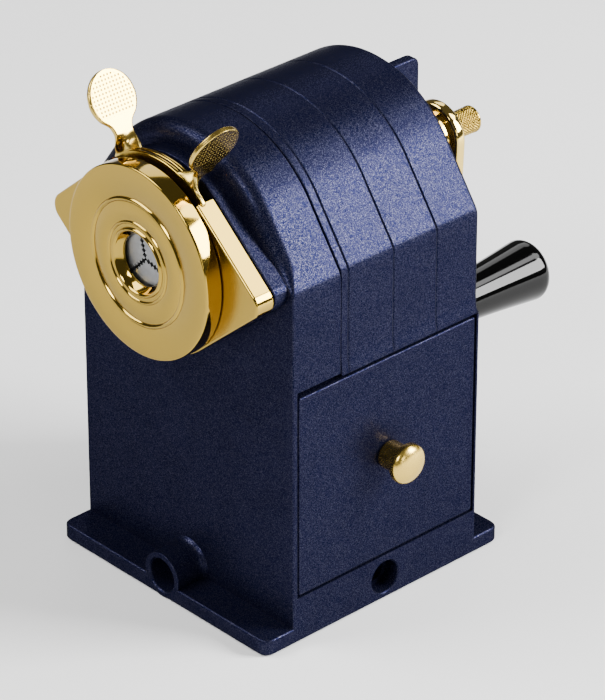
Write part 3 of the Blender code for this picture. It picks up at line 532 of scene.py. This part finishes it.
def vault(radius, half_width, floor_z, flare=0.0, steps=64, step=1.5):
    """Upright sides, straight slopes and a round top, anticlockwise seen from the front.

    A flare makes the foot of each side sweep out in a hollow curve below the upright.
    """
    s = settings().body
    slope = s.slope
    centre = s.vault_height / MM
    foot = np.array([radius * sin(slope), centre + radius * cos(slope)])
    shoulder = foot[1] - (half_width - foot[0]) * np.tan(slope)
    top = arc(radius, pi / 2 - slope, pi / 2 + slope, steps, (0.0, centre))
    right = [(half_width + flare, floor_z)]
    if flare:
        t = np.linspace(0.0, 1.0, 9)
        right = [(half_width + flare * (1 - v) ** 2, floor_z + 0.7 + 3.6 * v) for v in t]
        right.insert(0, (half_width + flare, floor_z))
    right = np.array(right + [(half_width, shoulder)])
    right = np.concatenate([right[:-1], round_corners([right[-2], right[-1], foot], [0, 1.2, 0], 6)[1:-1]])
    left = right[::-1] * np.array([-1.0, 1.0])
    return spaced(np.concatenate([right, top, left]), step)


def diamond(grow=0.0, step=1.2):
    """A large circle and two corner circles joined by the lines that touch them both."""
    low, high = box_mm("chuck_housing")
    disc_low, disc_high = box_mm("cover_disc")
    height = middle("cover_disc")[2]
    big = (disc_high[0] - disc_low[0]) / 2 + 0.3 + grow
    small = 3.1 + grow
    corner = (high[0] - low[0]) / 2 - 3.1
    lean = asin((big - small) / corner)
    right = arc(small, -(pi / 2 - lean), pi / 2 - lean, 20, (corner, height))
    top = arc(big, pi / 2 - lean, pi / 2 + lean, 40, (0.0, height))
    half = np.concatenate([right, top])
    other = half * np.array([-1.0, -1.0]) + np.array([0.0, 2 * height])
    return spaced(np.concatenate([half, other]), step)


def flat_box(name, x, y, z):
    """A plain box used to cut."""
    outline = np.array([(x[1], y[0]), (x[1], y[1]), (x[0], y[1]), (x[0], y[0])], float)
    points = np.stack([np.column_stack([outline, np.full(4, h)]) for h in z])
    return surface(name, points, None)


def cylinder(name, radius, y0, y1, centre, axis="Y", steps=96):
    return lathe(name, [(0, y0), (radius, y0), (radius, y1), (0, y1)], None, centre, axis, steps)


class OBJECT_OT_sharpener_body(bpy.types.Operator):
    """Builds the cast body: foot flange, drawer bay, front casing, boss and clamp sockets."""
    bl_idname = "object.sharpener_body"
    bl_label = "Body"

    def execute(self, context):
        s = settings().body
        low, high = box_mm("main_body")
        panel_low, panel_high = box_mm("drawer_front")
        hood_low = box_mm("rear_hood")[0]
        front = panel_low[1] - 1.5
        back = -front
        casing_end = hood_low[1] - 0.4
        axis_z = middle("cover_disc")[2]
        half = (high[0] - low[0]) / 2
        radius = s.vault_radius / MM
        bay_top = hood_low[2] - 0.3
        # The casing's front edge is softly rounded over the vault and almost crisp down the sides.
        outline = vault(radius, half, 2.0)
        rise = smooth((outline[:, 1] - (axis_z - 1.0)) / 7.0)
        edge = s.side_round / MM + (s.front_round - s.side_round) / MM * rise
        angle = np.linspace(0, pi / 2, 9)[:, None]
        row = np.ones((1, len(edge)))
        places = np.concatenate([front + edge * (1 - np.cos(angle)), row * (casing_end - 0.2),
                                 row * casing_end])
        insets = np.concatenate([edge * (1 - np.sin(angle)), row * 0.0, row * 0.15])
        body = carried("Body casting", outline, places, insets, None)
        bay = flat_box("Bay", (-half, half), (front + 4, back), (1.0, bay_top))
        flange = slab("Flange", (low[0], low[1], 0.0), (high[0], high[1], s.flange_height / MM),
                      None, 2.5, 0.5)
        y0, i0 = rounded_ends(front - 3.1, front + 3.0, 0.3)
        boss = carried("Boss", diamond(-0.2), y0, i0, None)
        # Known fault: the tube's foot flares to 0.9 mm below the base.
        tube = [(0, low[1]), (TUBE_R, low[1]), (TUBE_R, front - 0.9), (TUBE_FOOT_R, front + 0.1),
                (TUBE_FOOT_R, front + 1), (0, front + 1)]
        tube = lathe("Socket tube", round_corners(tube, [0, 0.25, 1.2, 0, 0, 0]), None, (0, CLAMP_Z))
        cut(body, bay, flange, boss, tube, operation="UNION")
        floor_z = panel_low[2] - PANEL_GAP
        inside = -half + BODY_WALL
        hollow = flat_box("Hollow", (inside, half + 1), (front + BODY_WALL, back - BODY_WALL),
                          (floor_z, bay_top - 2))
        well = flat_box("Well", (inside, half - BODY_WALL), (casing_end + 1.5, back - BODY_WALL),
                        (bay_top - 4, bay_top + 1))
        rebate = flat_box("Rebate", (panel_low[0] - SEAT_GAP, half + 1),
                          (panel_low[1] - PANEL_GAP, panel_high[1] + PANEL_GAP), (floor_z, bay_top + 1))
        ring_low, ring_high = box_mm("ring_gear")
        seat = (ring_high[0] - ring_low[0]) / 2 + SEAT_GAP
        seat_y = ring_low[1] - SEAT_GAP
        entry = lathe("Entry", [(0, front - 4), (5.5, front - 4), (5.5, front + 3),
                                (seat - 3.3, front + 3), (seat - 3.3, seat_y), (seat, seat_y),
                                (seat, casing_end + 1), (0, casing_end + 1)], None, (0, axis_z))
        mouth = round_corners([(0, low[1] - 1), (4.6, low[1] - 1), (CLAMP_BORE, low[1] + 0.35),
                               (CLAMP_BORE, low[1] + CLAMP_DEPTH), (0, low[1] + CLAMP_DEPTH)],
                              [0, 0, 0.3, 0, 0])
        front_socket = lathe("Front socket", mouth, None, (0, CLAMP_Z))
        side_socket = lathe("Side socket", [(0, half - CLAMP_DEPTH), (2.6, half - CLAMP_DEPTH),
                                            (2.6, half - 3.5), (CLAMP_BORE, half - 3.5),
                                            (CLAMP_BORE, half - 0.25), (4.0, half + 0.3),
                                            (0, half + 0.3)], None, (0.0, CLAMP_Z), "X")
        near, far = box_mm("base_plate")
        near, far = near - SEAT_GAP, far + SEAT_GAP
        seat_box = flat_box("Plate seat", (near[0], far[0]), (near[1], far[1]), (-1, far[2]))
        cut(body, hollow, well, rebate, entry, front_socket, side_socket, seat_box)
        for word in ("left", "right"):
            x = middle("guide_bush_" + word)[0]
            cut(body, cylinder("Bush hole " + word, 3.2, front - 5, casing_end + 1, (x, axis_z), steps=48))
        for i in range(1, 5):
            x, y, _ = middle(f"base_screw_{i}")
            cut(body, cylinder(f"Screw hole {i}", 1.5, 1.0, 7.2, (x, y), "Z", steps=24))
        finished(body, "paint", "frame", "main_body")
        return {"FINISHED"}


class OBJECT_OT_sharpener_hood(bpy.types.Operator):
    """Builds the vaulted rear hood with its fine ring lines, rear bearing and rib."""
    bl_idname = "object.sharpener_hood"
    bl_label = "Hood"

    def execute(self, context):
        s = settings().body
        low, high = box_mm("rear_hood")
        bush_low, bush_high = box_mm("rear_bush")
        axis_z = middle("rear_bush")[2]
        back = bush_low[1] + 2.6
        radius = s.vault_radius / MM
        groove = s.groove / MM
        # Rows along the depth: a crisp front edge, three V-shaped lines, a softly rounded rear edge.
        rows = [(low[1] - 0.1, 0.2), (low[1], 0.06), (low[1] + 0.15, 0.0)]
        for line in (2.0, 13.6, 24.9):
            at = low[1] - 0.2 + line
            rows += [(at - 0.32, 0.0), (at - 0.22, 0.05), (at, groove), (at + 0.22, 0.05),
                     (at + 0.32, 0.0)]
        angle = np.linspace(0, pi / 2, 7)
        rows += [(back - 1.0 + np.sin(a), 1.0 - np.cos(a)) for a in angle]
        places, insets = np.array(rows).T
        outline = vault(radius, high[0] - 0.35, low[2], flare=0.35)
        keep = smooth((outline[:, 1] - low[2]) / 0.8)
        body = carried("Rear hood casting", outline, places, insets[:, None] * keep[None], None)
        out = high[1] - 0.4
        bearing = round_corners([(0, back - 1), (9, back - 1), (9, out), (0, out)], [0, 0, 0.9, 0])
        bearing = lathe("Bearing", bearing, None, (0, axis_z))
        rib = slab("Rib", (-1.2, back - 1, axis_z + 5), (1.2, high[1], 94.9), None, 2.0, 0.45, "YZ")
        cut(body, bearing, rib, operation="UNION")
        inner = vault(radius - 2.2, high[0] - 2.2, low[2] - 5)
        bore = (bush_high[0] - bush_low[0]) / 2 + 0.2
        cut(body, carried("Hood hollow", inner, [low[1] - 1, back - 2.6], [0, 0], None),
            cylinder("Bearing bore", bore, back - 4, high[1] + 1, (0, axis_z)))
        finished(body, "paint", "frame", "rear_hood")
        return {"FINISHED"}


class OBJECT_OT_sharpener_drawer(bpy.types.Operator):
    """Builds the drawer's front panel and its turned knob."""
    bl_idname = "object.sharpener_drawer"
    bl_label = "Drawer"

    def execute(self, context):
        low, high = box_mm("drawer_front")
        knob_low, knob_high = box_mm("drawer_knob")
        y, z = middle("drawer_knob")[1:]
        panel = slab("Drawer panel", low, high, None, 0.5, 0.35, "YZ")
        cut(panel, cylinder("Panel bore", 1.3, low[0] - 1, high[0] + 1, (y, z), "X", 32))
        finished(panel, "paint", "drawer", "drawer_front")
        x0, x1 = knob_low[0], knob_high[0]
        head = x1 - 2.8
        stem_r, head_r = 2.9, 4.1
        # A straight stem, then a flat-backed head with a domed face.
        t = np.linspace(0, pi / 2, 16)
        dome = np.stack([head_r * np.cos(t) ** 0.85, head + 1.0 + (x1 - head - 1.0) * np.sin(t)], axis=1)
        stem = round_corners([(1.3, x0 + 3.3), (1.3, x0), (stem_r, x0), (stem_r, head), (head_r, head),
                              (head_r, head + 0.95)], [0, 0, 0.2, 0.25, 0.45, 0.1])
        profile = np.concatenate([[(0, x0 + 3.3)], stem, dome[:-1], [(0, x1)]])
        knob = lathe("Drawer pull", profile, finish("turned"), (y, z), "X", 128, sharp=50)
        dress(knob, "drawer", ["drawer_knob"])
        wear(finish("tray"), "drawer_tray")
        wear(finish("steel"), "drawer_screw")
        return {"FINISHED"}


# ---------------- carriage

class OBJECT_OT_sharpener_housing(bpy.types.Operator):
    """Builds the diamond-shaped housing with its pocket and the notch for the levers."""
    bl_idname = "object.sharpener_housing"
    bl_label = "Housing"

    def execute(self, context):
        low, high = box_mm("chuck_housing")
        z = middle("cover_disc")[2]
        places, insets = rounded_ends(low[1], high[1], 0.45, 6)
        body = carried("Housing", diamond(), places, insets, None)
        pocket = lathe("Pocket", [(0, low[1] - 1), (18.0, low[1] - 1), (18.0, high[1] - 0.8),
                                  (6.4, high[1] - 0.8), (6.4, high[1] + 1), (0, high[1] + 1)],
                       None, (0, z), steps=192)
        notch = flat_box("Notch", (-NOTCH, NOTCH), (low[1] - 1, high[1] + 1), (z + NOTCH, z + 30))
        cut(body, pocket, notch)
        for word in ("left", "right"):
            x = middle("guide_rod_" + word)[0]
            rod_low = box_mm("guide_rod_" + word)[0]
            cut(body, cylinder("Rod seat " + word, 2.2, rod_low[1] - 0.2, high[1] + 1, (x, z), steps=48))
        for word in "abc":
            x, _, pz = middle("jaw_pin_" + word)
            cut(body, cylinder("Pin seat " + word, 1.15, high[1] - 2, high[1] + 1, (x, pz), steps=32))
        finished(body, "gold", "carriage", "chuck_housing")
        return {"FINISHED"}


class OBJECT_OT_sharpener_disc(bpy.types.Operator):
    """Builds the cover disc: a turned cup with a raised bead, fine rings and a chamfered hole."""
    bl_idname = "object.sharpener_disc"
    bl_label = "Cover disc"

    def execute(self, context):
        s = settings().disc
        low, high = box_mm("cover_disc")
        x, _, z = middle("cover_disc")
        front = low[1]
        back = high[1] - 0.9
        rim = (high[0] - low[0]) / 2
        hole = s.hole / MM
        bead = s.bead_radius / MM
        wide = s.bead_width / MM / 2
        tall = s.bead_height / MM
        ring = s.inner_ring / MM
        t = np.linspace(0, 1, 13)

        def hump(centre, half, height):
            """A sine hump in the face between two small grooves."""
            return np.stack([centre - half + 2 * half * t, front + 0.07 - height * np.sin(pi * t)], axis=1)

        cone = round_corners([(hole, front + 1.6), (hole, front + 1.2), (hole + 0.95, front + 0.2)],
                             [0, 0.15, 0])
        profile = np.concatenate([
            cone, hump(hole + 1.4, 0.42, 0.38),
            [(hole + 2.0, front), (ring - 0.5, front)], hump(ring, 0.32, 0.25),
            [(ring + 0.5, front), (bead - wide - 0.15, front)], hump(bead, wide, tall),
            round_corners([(bead + wide + 0.15, front), (rim, front), (rim, back), (17.75, back),
                           (17.75, high[1]), (16.8, high[1]), (16.8, front + 1.6)],
                          [0, 0.45, 0.35, 0, 0, 0, 0], 8)])
        disc = lathe("Disc", profile, finish("gold"), (x, z), steps=320, closed=True, sharp=42)
        cut(disc, flat_box("Disc notch", (-NOTCH, NOTCH), (back + 0.01, back + 3), (z + NOTCH, z + 30)))
        settle(disc, finish("gold"), 42)
        dress(disc, "carriage", ["cover_disc"])
        return {"FINISHED"}


def turned_form(name, outline, turn, z, y0, y1):
    """An outline turned about the pencil's axis and carried from y0 to y1."""
    rotation = np.array([[cos(turn), sin(turn)], [-sin(turn), cos(turn)]])
    flat = outline @ rotation + np.array([0.0, z])
    points = [np.column_stack([flat[:, 0], np.full(len(flat), y), flat[:, 1]]) for y in (y0, y1)]
    return surface(name, np.stack(points), None)


def blade(name, turn, z, y0, y1, pitch):
    """A jaw: a wedge whose two inner edges are cut into small triangular teeth."""
    start, end = radians(-105), radians(15)
    count = int(9.0 / pitch)
    k = np.arange(2 * count + 1)
    away = 0.35 + 0.5 * pitch * k
    depth = np.where(k % 2 == 0, 0.12, 0.62)
    low_edge = np.stack([away * cos(start) - depth * sin(start),
                         away * sin(start) + depth * cos(start)], axis=1)
    high_edge = np.stack([away * cos(end) + depth * sin(end),
                          away * sin(end) - depth * cos(end)], axis=1)[::-1]
    outer = arc(11.0, radians(-96), radians(-17), 16)
    tail = np.array([(12.4, -1.9), (15.8, -1.9), (16.3, -1.2), (16.3, 1.2), (15.8, 1.9)])
    outline = np.concatenate([low_edge[(low_edge ** 2).sum(axis=1) < 100], outer, tail,
                              high_edge[(high_edge ** 2).sum(axis=1) < 64]])
    return turned_form(name, outline, turn, z, y0, y1)


class OBJECT_OT_sharpener_jaws(bpy.types.Operator):
    """Builds the three toothed jaws that meet on the pencil's axis."""
    bl_idname = "object.sharpener_jaws"
    bl_label = "Jaws"

    def execute(self, context):
        z = middle("cover_disc")[2]
        for word, turn in zip("abc", JAW_TURNS):
            low, high = box_mm("jaw_" + word)
            pin = middle("jaw_pin_" + word)
            y0 = low[1]
            piece = blade("Toothed jaw " + word, radians(turn), z, y0, y0 + 1.2, settings().disc.tooth / MM)
            drive = (DRIVE_R * cos(radians(turn)), z + DRIVE_R * sin(radians(turn)))
            cut(piece, cylinder("Jaw hole " + word, 1.3, y0 - 1, y0 + 3, (pin[0], pin[2]), steps=40))
            settle(piece, finish("jaw"))
            post = cylinder("Jaw post " + word, 0.9, y0 + 0.5, high[1], drive, steps=32)
            cut(piece, post, operation="UNION")
            settle(piece, finish("jaw"))
            dress(piece, "jaw_" + word, ["jaw_" + word])
        return {"FINISHED"}


def lever_strip(name, side, z, ring_y, pad_y, s):
    """Neck and pad in one: a flat strip run outward, turned a quarter about its own length.

    Its half width is the neck's, flaring at the foot, then follows the pad's circle. Its rows
    are thin rounded boxes, so the strip is closed and its edges are soft.
    """
    crest = 20.4
    pad = s.pad / MM
    start, end = crest - 2.4, PAD_OUT + pad - 0.004
    t = np.linspace(0, 1, 150)
    along = start + (end - start) * (1 - (1 - t) ** 1.6)
    reach = np.clip(pad ** 2 - (along - PAD_OUT) ** 2, 0.0, None) ** 0.5
    reach = np.where(along < PAD_OUT - pad, 0.0, reach)
    neck = s.neck / MM + 2.4 * np.clip((crest + 2.2 - along) / 3.0, 0, 1) ** 2
    neck = neck + 1.5 * np.clip((along - PAD_OUT + pad + 2.2) / 4.0, 0, 1) ** 2
    half = np.where(along < PAD_OUT, np.maximum(neck, (neck ** 6 + reach ** 6) ** (1 / 6)), reach)
    half = np.where(along < PAD_OUT, np.minimum(half, np.maximum(neck, reach) + 0.25), reach) + 0.02
    ease = smooth((along - crest + 0.6) / 3.8)
    turn = ease * pi / 2 * side
    thick = s.sheet / MM / 2 - 0.02
    middle_y = ring_y + (pad_y - ring_y) * ease
    # The rounded box: points around it, wide by thin, with small round corners.
    columns = 176
    corner = 0.28
    around = np.linspace(0, 2 * pi, columns, endpoint=False) + pi / columns
    box_x, box_y = np.cos(around), np.sin(around)
    scale = 1 / np.maximum(np.abs(box_x), np.abs(box_y))
    unit_x, unit_y = box_x * scale, box_y * scale
    wide = unit_x[None] * half[:, None]
    thin = unit_y[None] * thick
    near = np.clip((np.abs(wide) - (half[:, None] - corner)) / corner, 0, 1)
    thin = thin * np.sqrt(np.clip(1 - 0.75 * near ** 2, 0, 1))
    lean = pi / 2 - side * LEVER_LEAN
    radial = np.array([cos(lean), 0.0, sin(lean)])
    tangent = np.array([-sin(lean), 0.0, cos(lean)])
    forward = np.array([0.0, 1.0, 0.0])
    wide_way = tangent * np.cos(turn)[:, None] + forward * np.sin(turn)[:, None]
    thin_way = np.cross(wide_way, radial)
    points = (np.array([0.0, 0.0, z]) + radial * along[:, None] + forward * middle_y[:, None])[:, None]
    points = points + wide_way[:, None] * wide[:, :, None] + thin_way[:, None] * thin[:, :, None]
    piece = surface(name, points, None, sharp=60)
    return piece, radial


def ring_plate(name, side, z, y0, y1):
    """A flat ring whose outer edge swells to a crest where its lever leaves it."""
    steps = 240
    angle = np.linspace(0, 2 * pi, steps, endpoint=False)
    lean = pi / 2 - side * LEVER_LEAN
    far = pi / 2 + side * radians(22.0)
    low, high = sorted((lean - side * radians(7.0), far))
    edge = radians(3.0)
    window = smooth((angle - low + edge) / edge) * smooth((high + edge - angle) / edge)
    outer = 17.5 + 2.9 * window
    inner = np.full(steps, 11.5)
    soft = 0.12
    rows = [(inner, y0 + soft), (inner + soft, y0), (outer - soft, y0), (outer, y0 + soft),
            (outer, y1 - soft), (outer - soft, y1), (inner + soft, y1), (inner, y1 - soft)]
    points = np.stack([np.stack([r * np.cos(angle), np.full(steps, y), z + r * np.sin(angle)], axis=1)
                       for r, y in rows])
    return surface(name, points, None, wrap_rows=True, sharp=50)


class OBJECT_OT_sharpener_levers(bpy.types.Operator):
    """Builds the two pressed finger levers with twisted necks and dimpled pads."""
    bl_idname = "object.sharpener_levers"
    bl_label = "Levers"

    def execute(self, context):
        s = settings().levers
        z = middle("cover_disc")[2]
        housing_back = box_mm("chuck_housing")[1][1]
        for word, side, y0 in (("left", -1, housing_back - 2.2), ("right", 1, housing_back - 3.5)):
            y1 = y0 + s.sheet / MM
            pad_y = housing_back - 1.5
            ring = ring_plate(f"Lever ring {word}", side, z, y0, y1)
            if word == "right":
                for jaw_turn in JAW_TURNS:
                    cut(ring, slot_form(radians(jaw_turn), z, y0 - 1, y1 + 1))
            settle(ring, finish("gold"), 45)
            strip, radial = lever_strip(f"Lever {word}", side, z, (y0 + y1) / 2, pad_y, s)
            mark_pad(strip, radial, z, pad_y)
            strip.data.materials.append(finish("dimples"))
            dress(strip, word + "_lever", [word + "_lever"])
            dress(ring, word + "_lever")
        return {"FINISHED"}


def slot_form(turn, z, y0, y1):
    """Cuts the slot that a jaw's drive post runs in."""
    corners = np.array([(12.6, -1.2), (16.1, -1.2), (16.1, 1.2), (12.6, 1.2)])
    return turned_form("Slot", corners, turn, z, y0, y1)


def mark_pad(piece, radial, z, pad_y):
    """A UV map in millimetres over the pad, and a mask that ends the dimples inside its rim."""
    mesh = piece.data
    count = len(mesh.vertices)
    place = np.empty(count * 3)
    mesh.vertices.foreach_get("co", place)
    place = place.reshape(-1, 3) / MM - np.array([0.0, pad_y, z])
    u = place @ radial - PAD_OUT
    v = place[:, 1]
    mask = (1.0 - smooth((np.hypot(u, v) - 4.5) / 0.3)) * smooth((u + 3.5) / 0.3)
    attribute = mesh.attributes.new("pad_mask", "FLOAT", "POINT")
    attribute.data.foreach_set("value", mask.astype(np.float32))
    corner = np.empty(len(mesh.loops), np.int32)
    mesh.loops.foreach_get("vertex_index", corner)
    layer = mesh.uv_layers.new(name="Pad")
    layer.data.foreach_set("uv", np.stack([u[corner], v[corner]], axis=1).ravel())


# ---------------- crank

class OBJECT_OT_sharpener_crank(bpy.types.Operator):
    """Builds the crank arm with its hub, the black handle and the knurled adjuster."""
    bl_idname = "object.sharpener_crank"
    bl_label = "Crank"

    def execute(self, context):
        s = settings().crank
        z = middle("adjuster_knob")[2]
        low, high = box_mm("crank_arm")
        handle_low, handle_high = box_mm("crank_handle")
        pin_z = middle("handle_pin")[2]
        face = high[1] - 2.6
        throw = z - pin_z
        big = (high[0] - low[0]) / 2
        small = pin_z - low[2]
        lean = asin((big - small) / throw)
        outline = np.concatenate([arc(big, -lean, pi + lean, 60, (0, z)),
                                  arc(small, pi + lean, 2 * pi - lean, 40, (0, pin_z))])
        places, insets = rounded_ends(face, high[1], 0.8)
        arm = carried("Arm", spaced(outline, 1.5), places, insets, None)
        hub = round_corners([(0, low[1]), (5.4, low[1]), (5.4, face + 1), (0, face + 1)], [0, 1.1, 0, 0])
        hub = lathe("Hub", hub, None, (0, z))
        cut(arm, hub, operation="UNION")
        cut(arm, cylinder("Arm bore", 3.5, low[1] - 1, high[1] + 1, (0, z)),
            cylinder("Pin hole", 1.7, face - 1, high[1] + 1, (0, pin_z), steps=48))
        finished(arm, "bright", "crank", "crank_arm")

        # The knob is two crossing families of helical grooves on a slightly flared cylinder.
        low, high = box_mm("adjuster_knob")
        radius = (high[0] - low[0]) / 2
        length_y = high[1] - low[1]
        y = np.linspace(0, length_y, 90)
        angle = np.linspace(0, 2 * pi, 288, endpoint=False)
        pitch = s.knurl / MM
        count = round(2 * pi * radius / pitch)
        phase = y[:, None] / radius * 0.9
        a = np.abs(((angle[None] + phase) * count / (2 * pi)) % 1 - 0.5) * 2
        b = np.abs(((angle[None] - phase) * count / (2 * pi)) % 1 - 0.5) * 2
        band = smooth((y - 0.5) / 0.25) * smooth((length_y - 0.55 - y) / 0.25)
        flare = radius - 0.12 + 0.12 * smooth(y / length_y)
        end = np.minimum(y, length_y - y)
        flare = flare - 0.35 * (1 - np.clip(end / 0.35, 0, 1)) ** 2
        r = flare[:, None] - s.knurl_depth / MM * (np.maximum(a, b) ** 2) * band[:, None]
        rows = np.stack([r * np.cos(angle), np.repeat((low[1] + y)[:, None], len(angle), axis=1),
                         z + r * np.sin(angle)], axis=-1)
        knob = surface("Adjuster", rows, finish("gold"), sharp=60)
        dress(knob, "adjuster", ["adjuster_knob"])

        y0, y1 = handle_low[1], handle_high[1]
        r1 = (handle_high[0] - handle_low[0]) / 2
        bow = s.handle_round / MM
        t = np.linspace(0, 1, 20)[1:-1]
        near_r = 4.4
        side = np.stack([near_r + (r1 - near_r) * t - 0.12 * np.sin(pi * t),
                         y0 + 0.6 + (y1 - bow - y0 - 0.6) * t], axis=1)
        turn = np.linspace(0, pi / 2, 12)
        cap = np.stack([r1 - bow + bow * np.cos(turn), y1 - bow + bow * np.sin(turn)], axis=1)
        foot = round_corners([(1.8, y0), (4.3, y0), (near_r, y0 + 0.6)], [0, 0.4, 0])[1:]
        profile = np.concatenate([[(0, y1 - 4.5), (1.8, y1 - 4.5), (1.8, y0)], foot, side, cap, [(0, y1)]])
        handle = lathe("Handle", profile, finish("black"), (0, pin_z), steps=192, sharp=40)
        dress(handle, "handle", ["crank_handle"])
        wear(finish("steel"), "crankshaft", "thrust_washer", "handle_pin", "cutter_arbor", "stop_pin")
        wear(finish("alloy"), "cutter_head")
        return {"FINISHED"}


class OBJECT_OT_sharpener_works(bpy.types.Operator):
    """Gives the inner pieces that keep their CAD shape their finishes."""
    bl_idname = "object.sharpener_works"
    bl_label = "Works"

    def execute(self, context):
        wear(finish("steel"), "ring_gear", "helical_cutter", "pinion_gear", "guide_rod_left",
             "guide_rod_right", "rod_collar_left", "rod_collar_right", "return_spring_left",
             "return_spring_right", "jaw_pin_a", "jaw_pin_b", "jaw_pin_c")
        wear(finish("dark"), "base_plate")
        wear(finish("steel"), "base_screw_1", "base_screw_2", "base_screw_3", "base_screw_4")
        wear(finish("bronze"), "rear_bush", "guide_bush_left", "guide_bush_right")
        return {"FINISHED"}


# ---------------- stage

def soft_box(name, direction, distance, size, energy):
    """A flat white studio light in a direction from the object, facing it."""
    light = bpy.data.lights.new(name, "AREA")
    light.shape = "RECTANGLE"
    light.size, light.size_y = size
    light.energy = energy
    lamp = bpy.data.objects.new(name, light)
    bpy.context.scene.collection.objects.link(lamp)
    way = Vector(direction).normalized()
    lamp.location = Vector((0.0, 0.0, 0.06)) + way * distance
    lamp.rotation_euler = way.to_track_quat("Z", "Y").to_euler()
    return lamp


class OBJECT_OT_sharpener_stage(bpy.types.Operator):
    """Sets the pale floor, the soft studio lights and the camera."""
    bl_idname = "object.sharpener_stage"
    bl_label = "Stage"

    def execute(self, context):
        s = settings().stage
        scene = context.scene
        material = start_material("Matt white sweep", Base_Color=linear("#f7f7f7"), Roughness=0.7)[0]
        floor = bpy.data.objects.new("Floor", bpy.data.meshes.new("Floor"))
        floor.data.from_pydata([(-3, -3, 0), (3, -3, 0), (3, 3, 0), (-3, 3, 0)], [], [(0, 1, 2, 3)])
        floor.data.materials.append(material)
        floor.location.z = -0.0002
        scene.collection.objects.link(floor)
        key = soft_box("Key", (0.68, 0.59, 0.44), 0.8, (0.3, 0.42), 17.0)
        upper = soft_box("Upper", (0.33, 0.60, 0.73), 0.85, (0.24, 0.24), 2.2)
        fill = soft_box("Fill", (-0.75, -0.75, 1.2), 1.6, (0.9, 0.9), 26.0)
        front = soft_box("Front", (0.25, -0.75, 0.62), 1.3, (0.35, 0.35), 9.0)
        back = soft_box("Back", (-0.5, 0.6, 0.6), 1.2, (0.4, 0.4), 1.6)
        strip = soft_box("Strip", (0.9, -0.1, 0.22), 1.0, (0.12, 0.3), 1.2)
        world = bpy.data.worlds.new("Studio")
        world.use_nodes = True
        sky = world.node_tree.nodes["Background"]
        sky.inputs[0].default_value = grey(0.85)
        sky.inputs[1].default_value = 0.14
        scene.world = world
        flat = cos(s.elevation)
        away = Vector((sin(s.azimuth) * flat, -cos(s.azimuth) * flat, sin(s.elevation)))
        right = Vector((cos(s.azimuth), sin(s.azimuth), 0.0))
        up = away.cross(right)
        data = bpy.data.cameras.new("Camera")
        data.lens = s.lens
        data.sensor_width = 36.0
        data.clip_start = 0.01
        camera = bpy.data.objects.new("Camera", data)
        scene.collection.objects.link(camera)
        target = Vector((0.0, -0.25, 48.0)) * MM
        place = target + away * s.distance + right * (4.54 * MM) - up * (4.28 * MM)
        camera.matrix_world = Matrix.Translation(place) @ Matrix((right, up, away)).transposed().to_4x4()
        scene.camera = camera
        return {"FINISHED"}


class VIEW3D_PT_sharpener(bpy.types.Panel):
    """Lists the build steps in the sidebar."""
    bl_label = "Sharpener"
    bl_idname = "VIEW3D_PT_sharpener"
    bl_space_type = "VIEW_3D"
    bl_region_type = "UI"
    bl_category = "Sharpener"

    def draw(self, context):
        for step in steps:
            self.layout.operator(step.bl_idname)


steps = (
    OBJECT_OT_sharpener_body,
    OBJECT_OT_sharpener_hood,
    OBJECT_OT_sharpener_drawer,
    OBJECT_OT_sharpener_housing,
    OBJECT_OT_sharpener_disc,
    OBJECT_OT_sharpener_jaws,
    OBJECT_OT_sharpener_levers,
    OBJECT_OT_sharpener_crank,
    OBJECT_OT_sharpener_works,
    OBJECT_OT_sharpener_stage,
)
groups = (SharpenerBody, SharpenerDisc, SharpenerLevers, SharpenerCrank, SharpenerStage, SharpenerSettings)


def register():
    for kind in groups + steps + (VIEW3D_PT_sharpener,):
        bpy.utils.register_class(kind)
    bpy.types.Scene.sharpener = bpy.props.PointerProperty(type=SharpenerSettings)


def unregister():
    del bpy.types.Scene.sharpener
    for kind in reversed(groups + steps + (VIEW3D_PT_sharpener,)):
        bpy.utils.unregister_class(kind)


def main():
    register()
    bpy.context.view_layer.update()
    bpy.ops.object.sharpener_body()
    bpy.ops.object.sharpener_hood()
    bpy.ops.object.sharpener_drawer()
    bpy.ops.object.sharpener_housing()
    bpy.ops.object.sharpener_disc()
    bpy.ops.object.sharpener_jaws()
    bpy.ops.object.sharpener_levers()
    bpy.ops.object.sharpener_crank()
    bpy.ops.object.sharpener_works()
    bpy.ops.object.sharpener_stage()


if __name__ == "__main__":
    main()
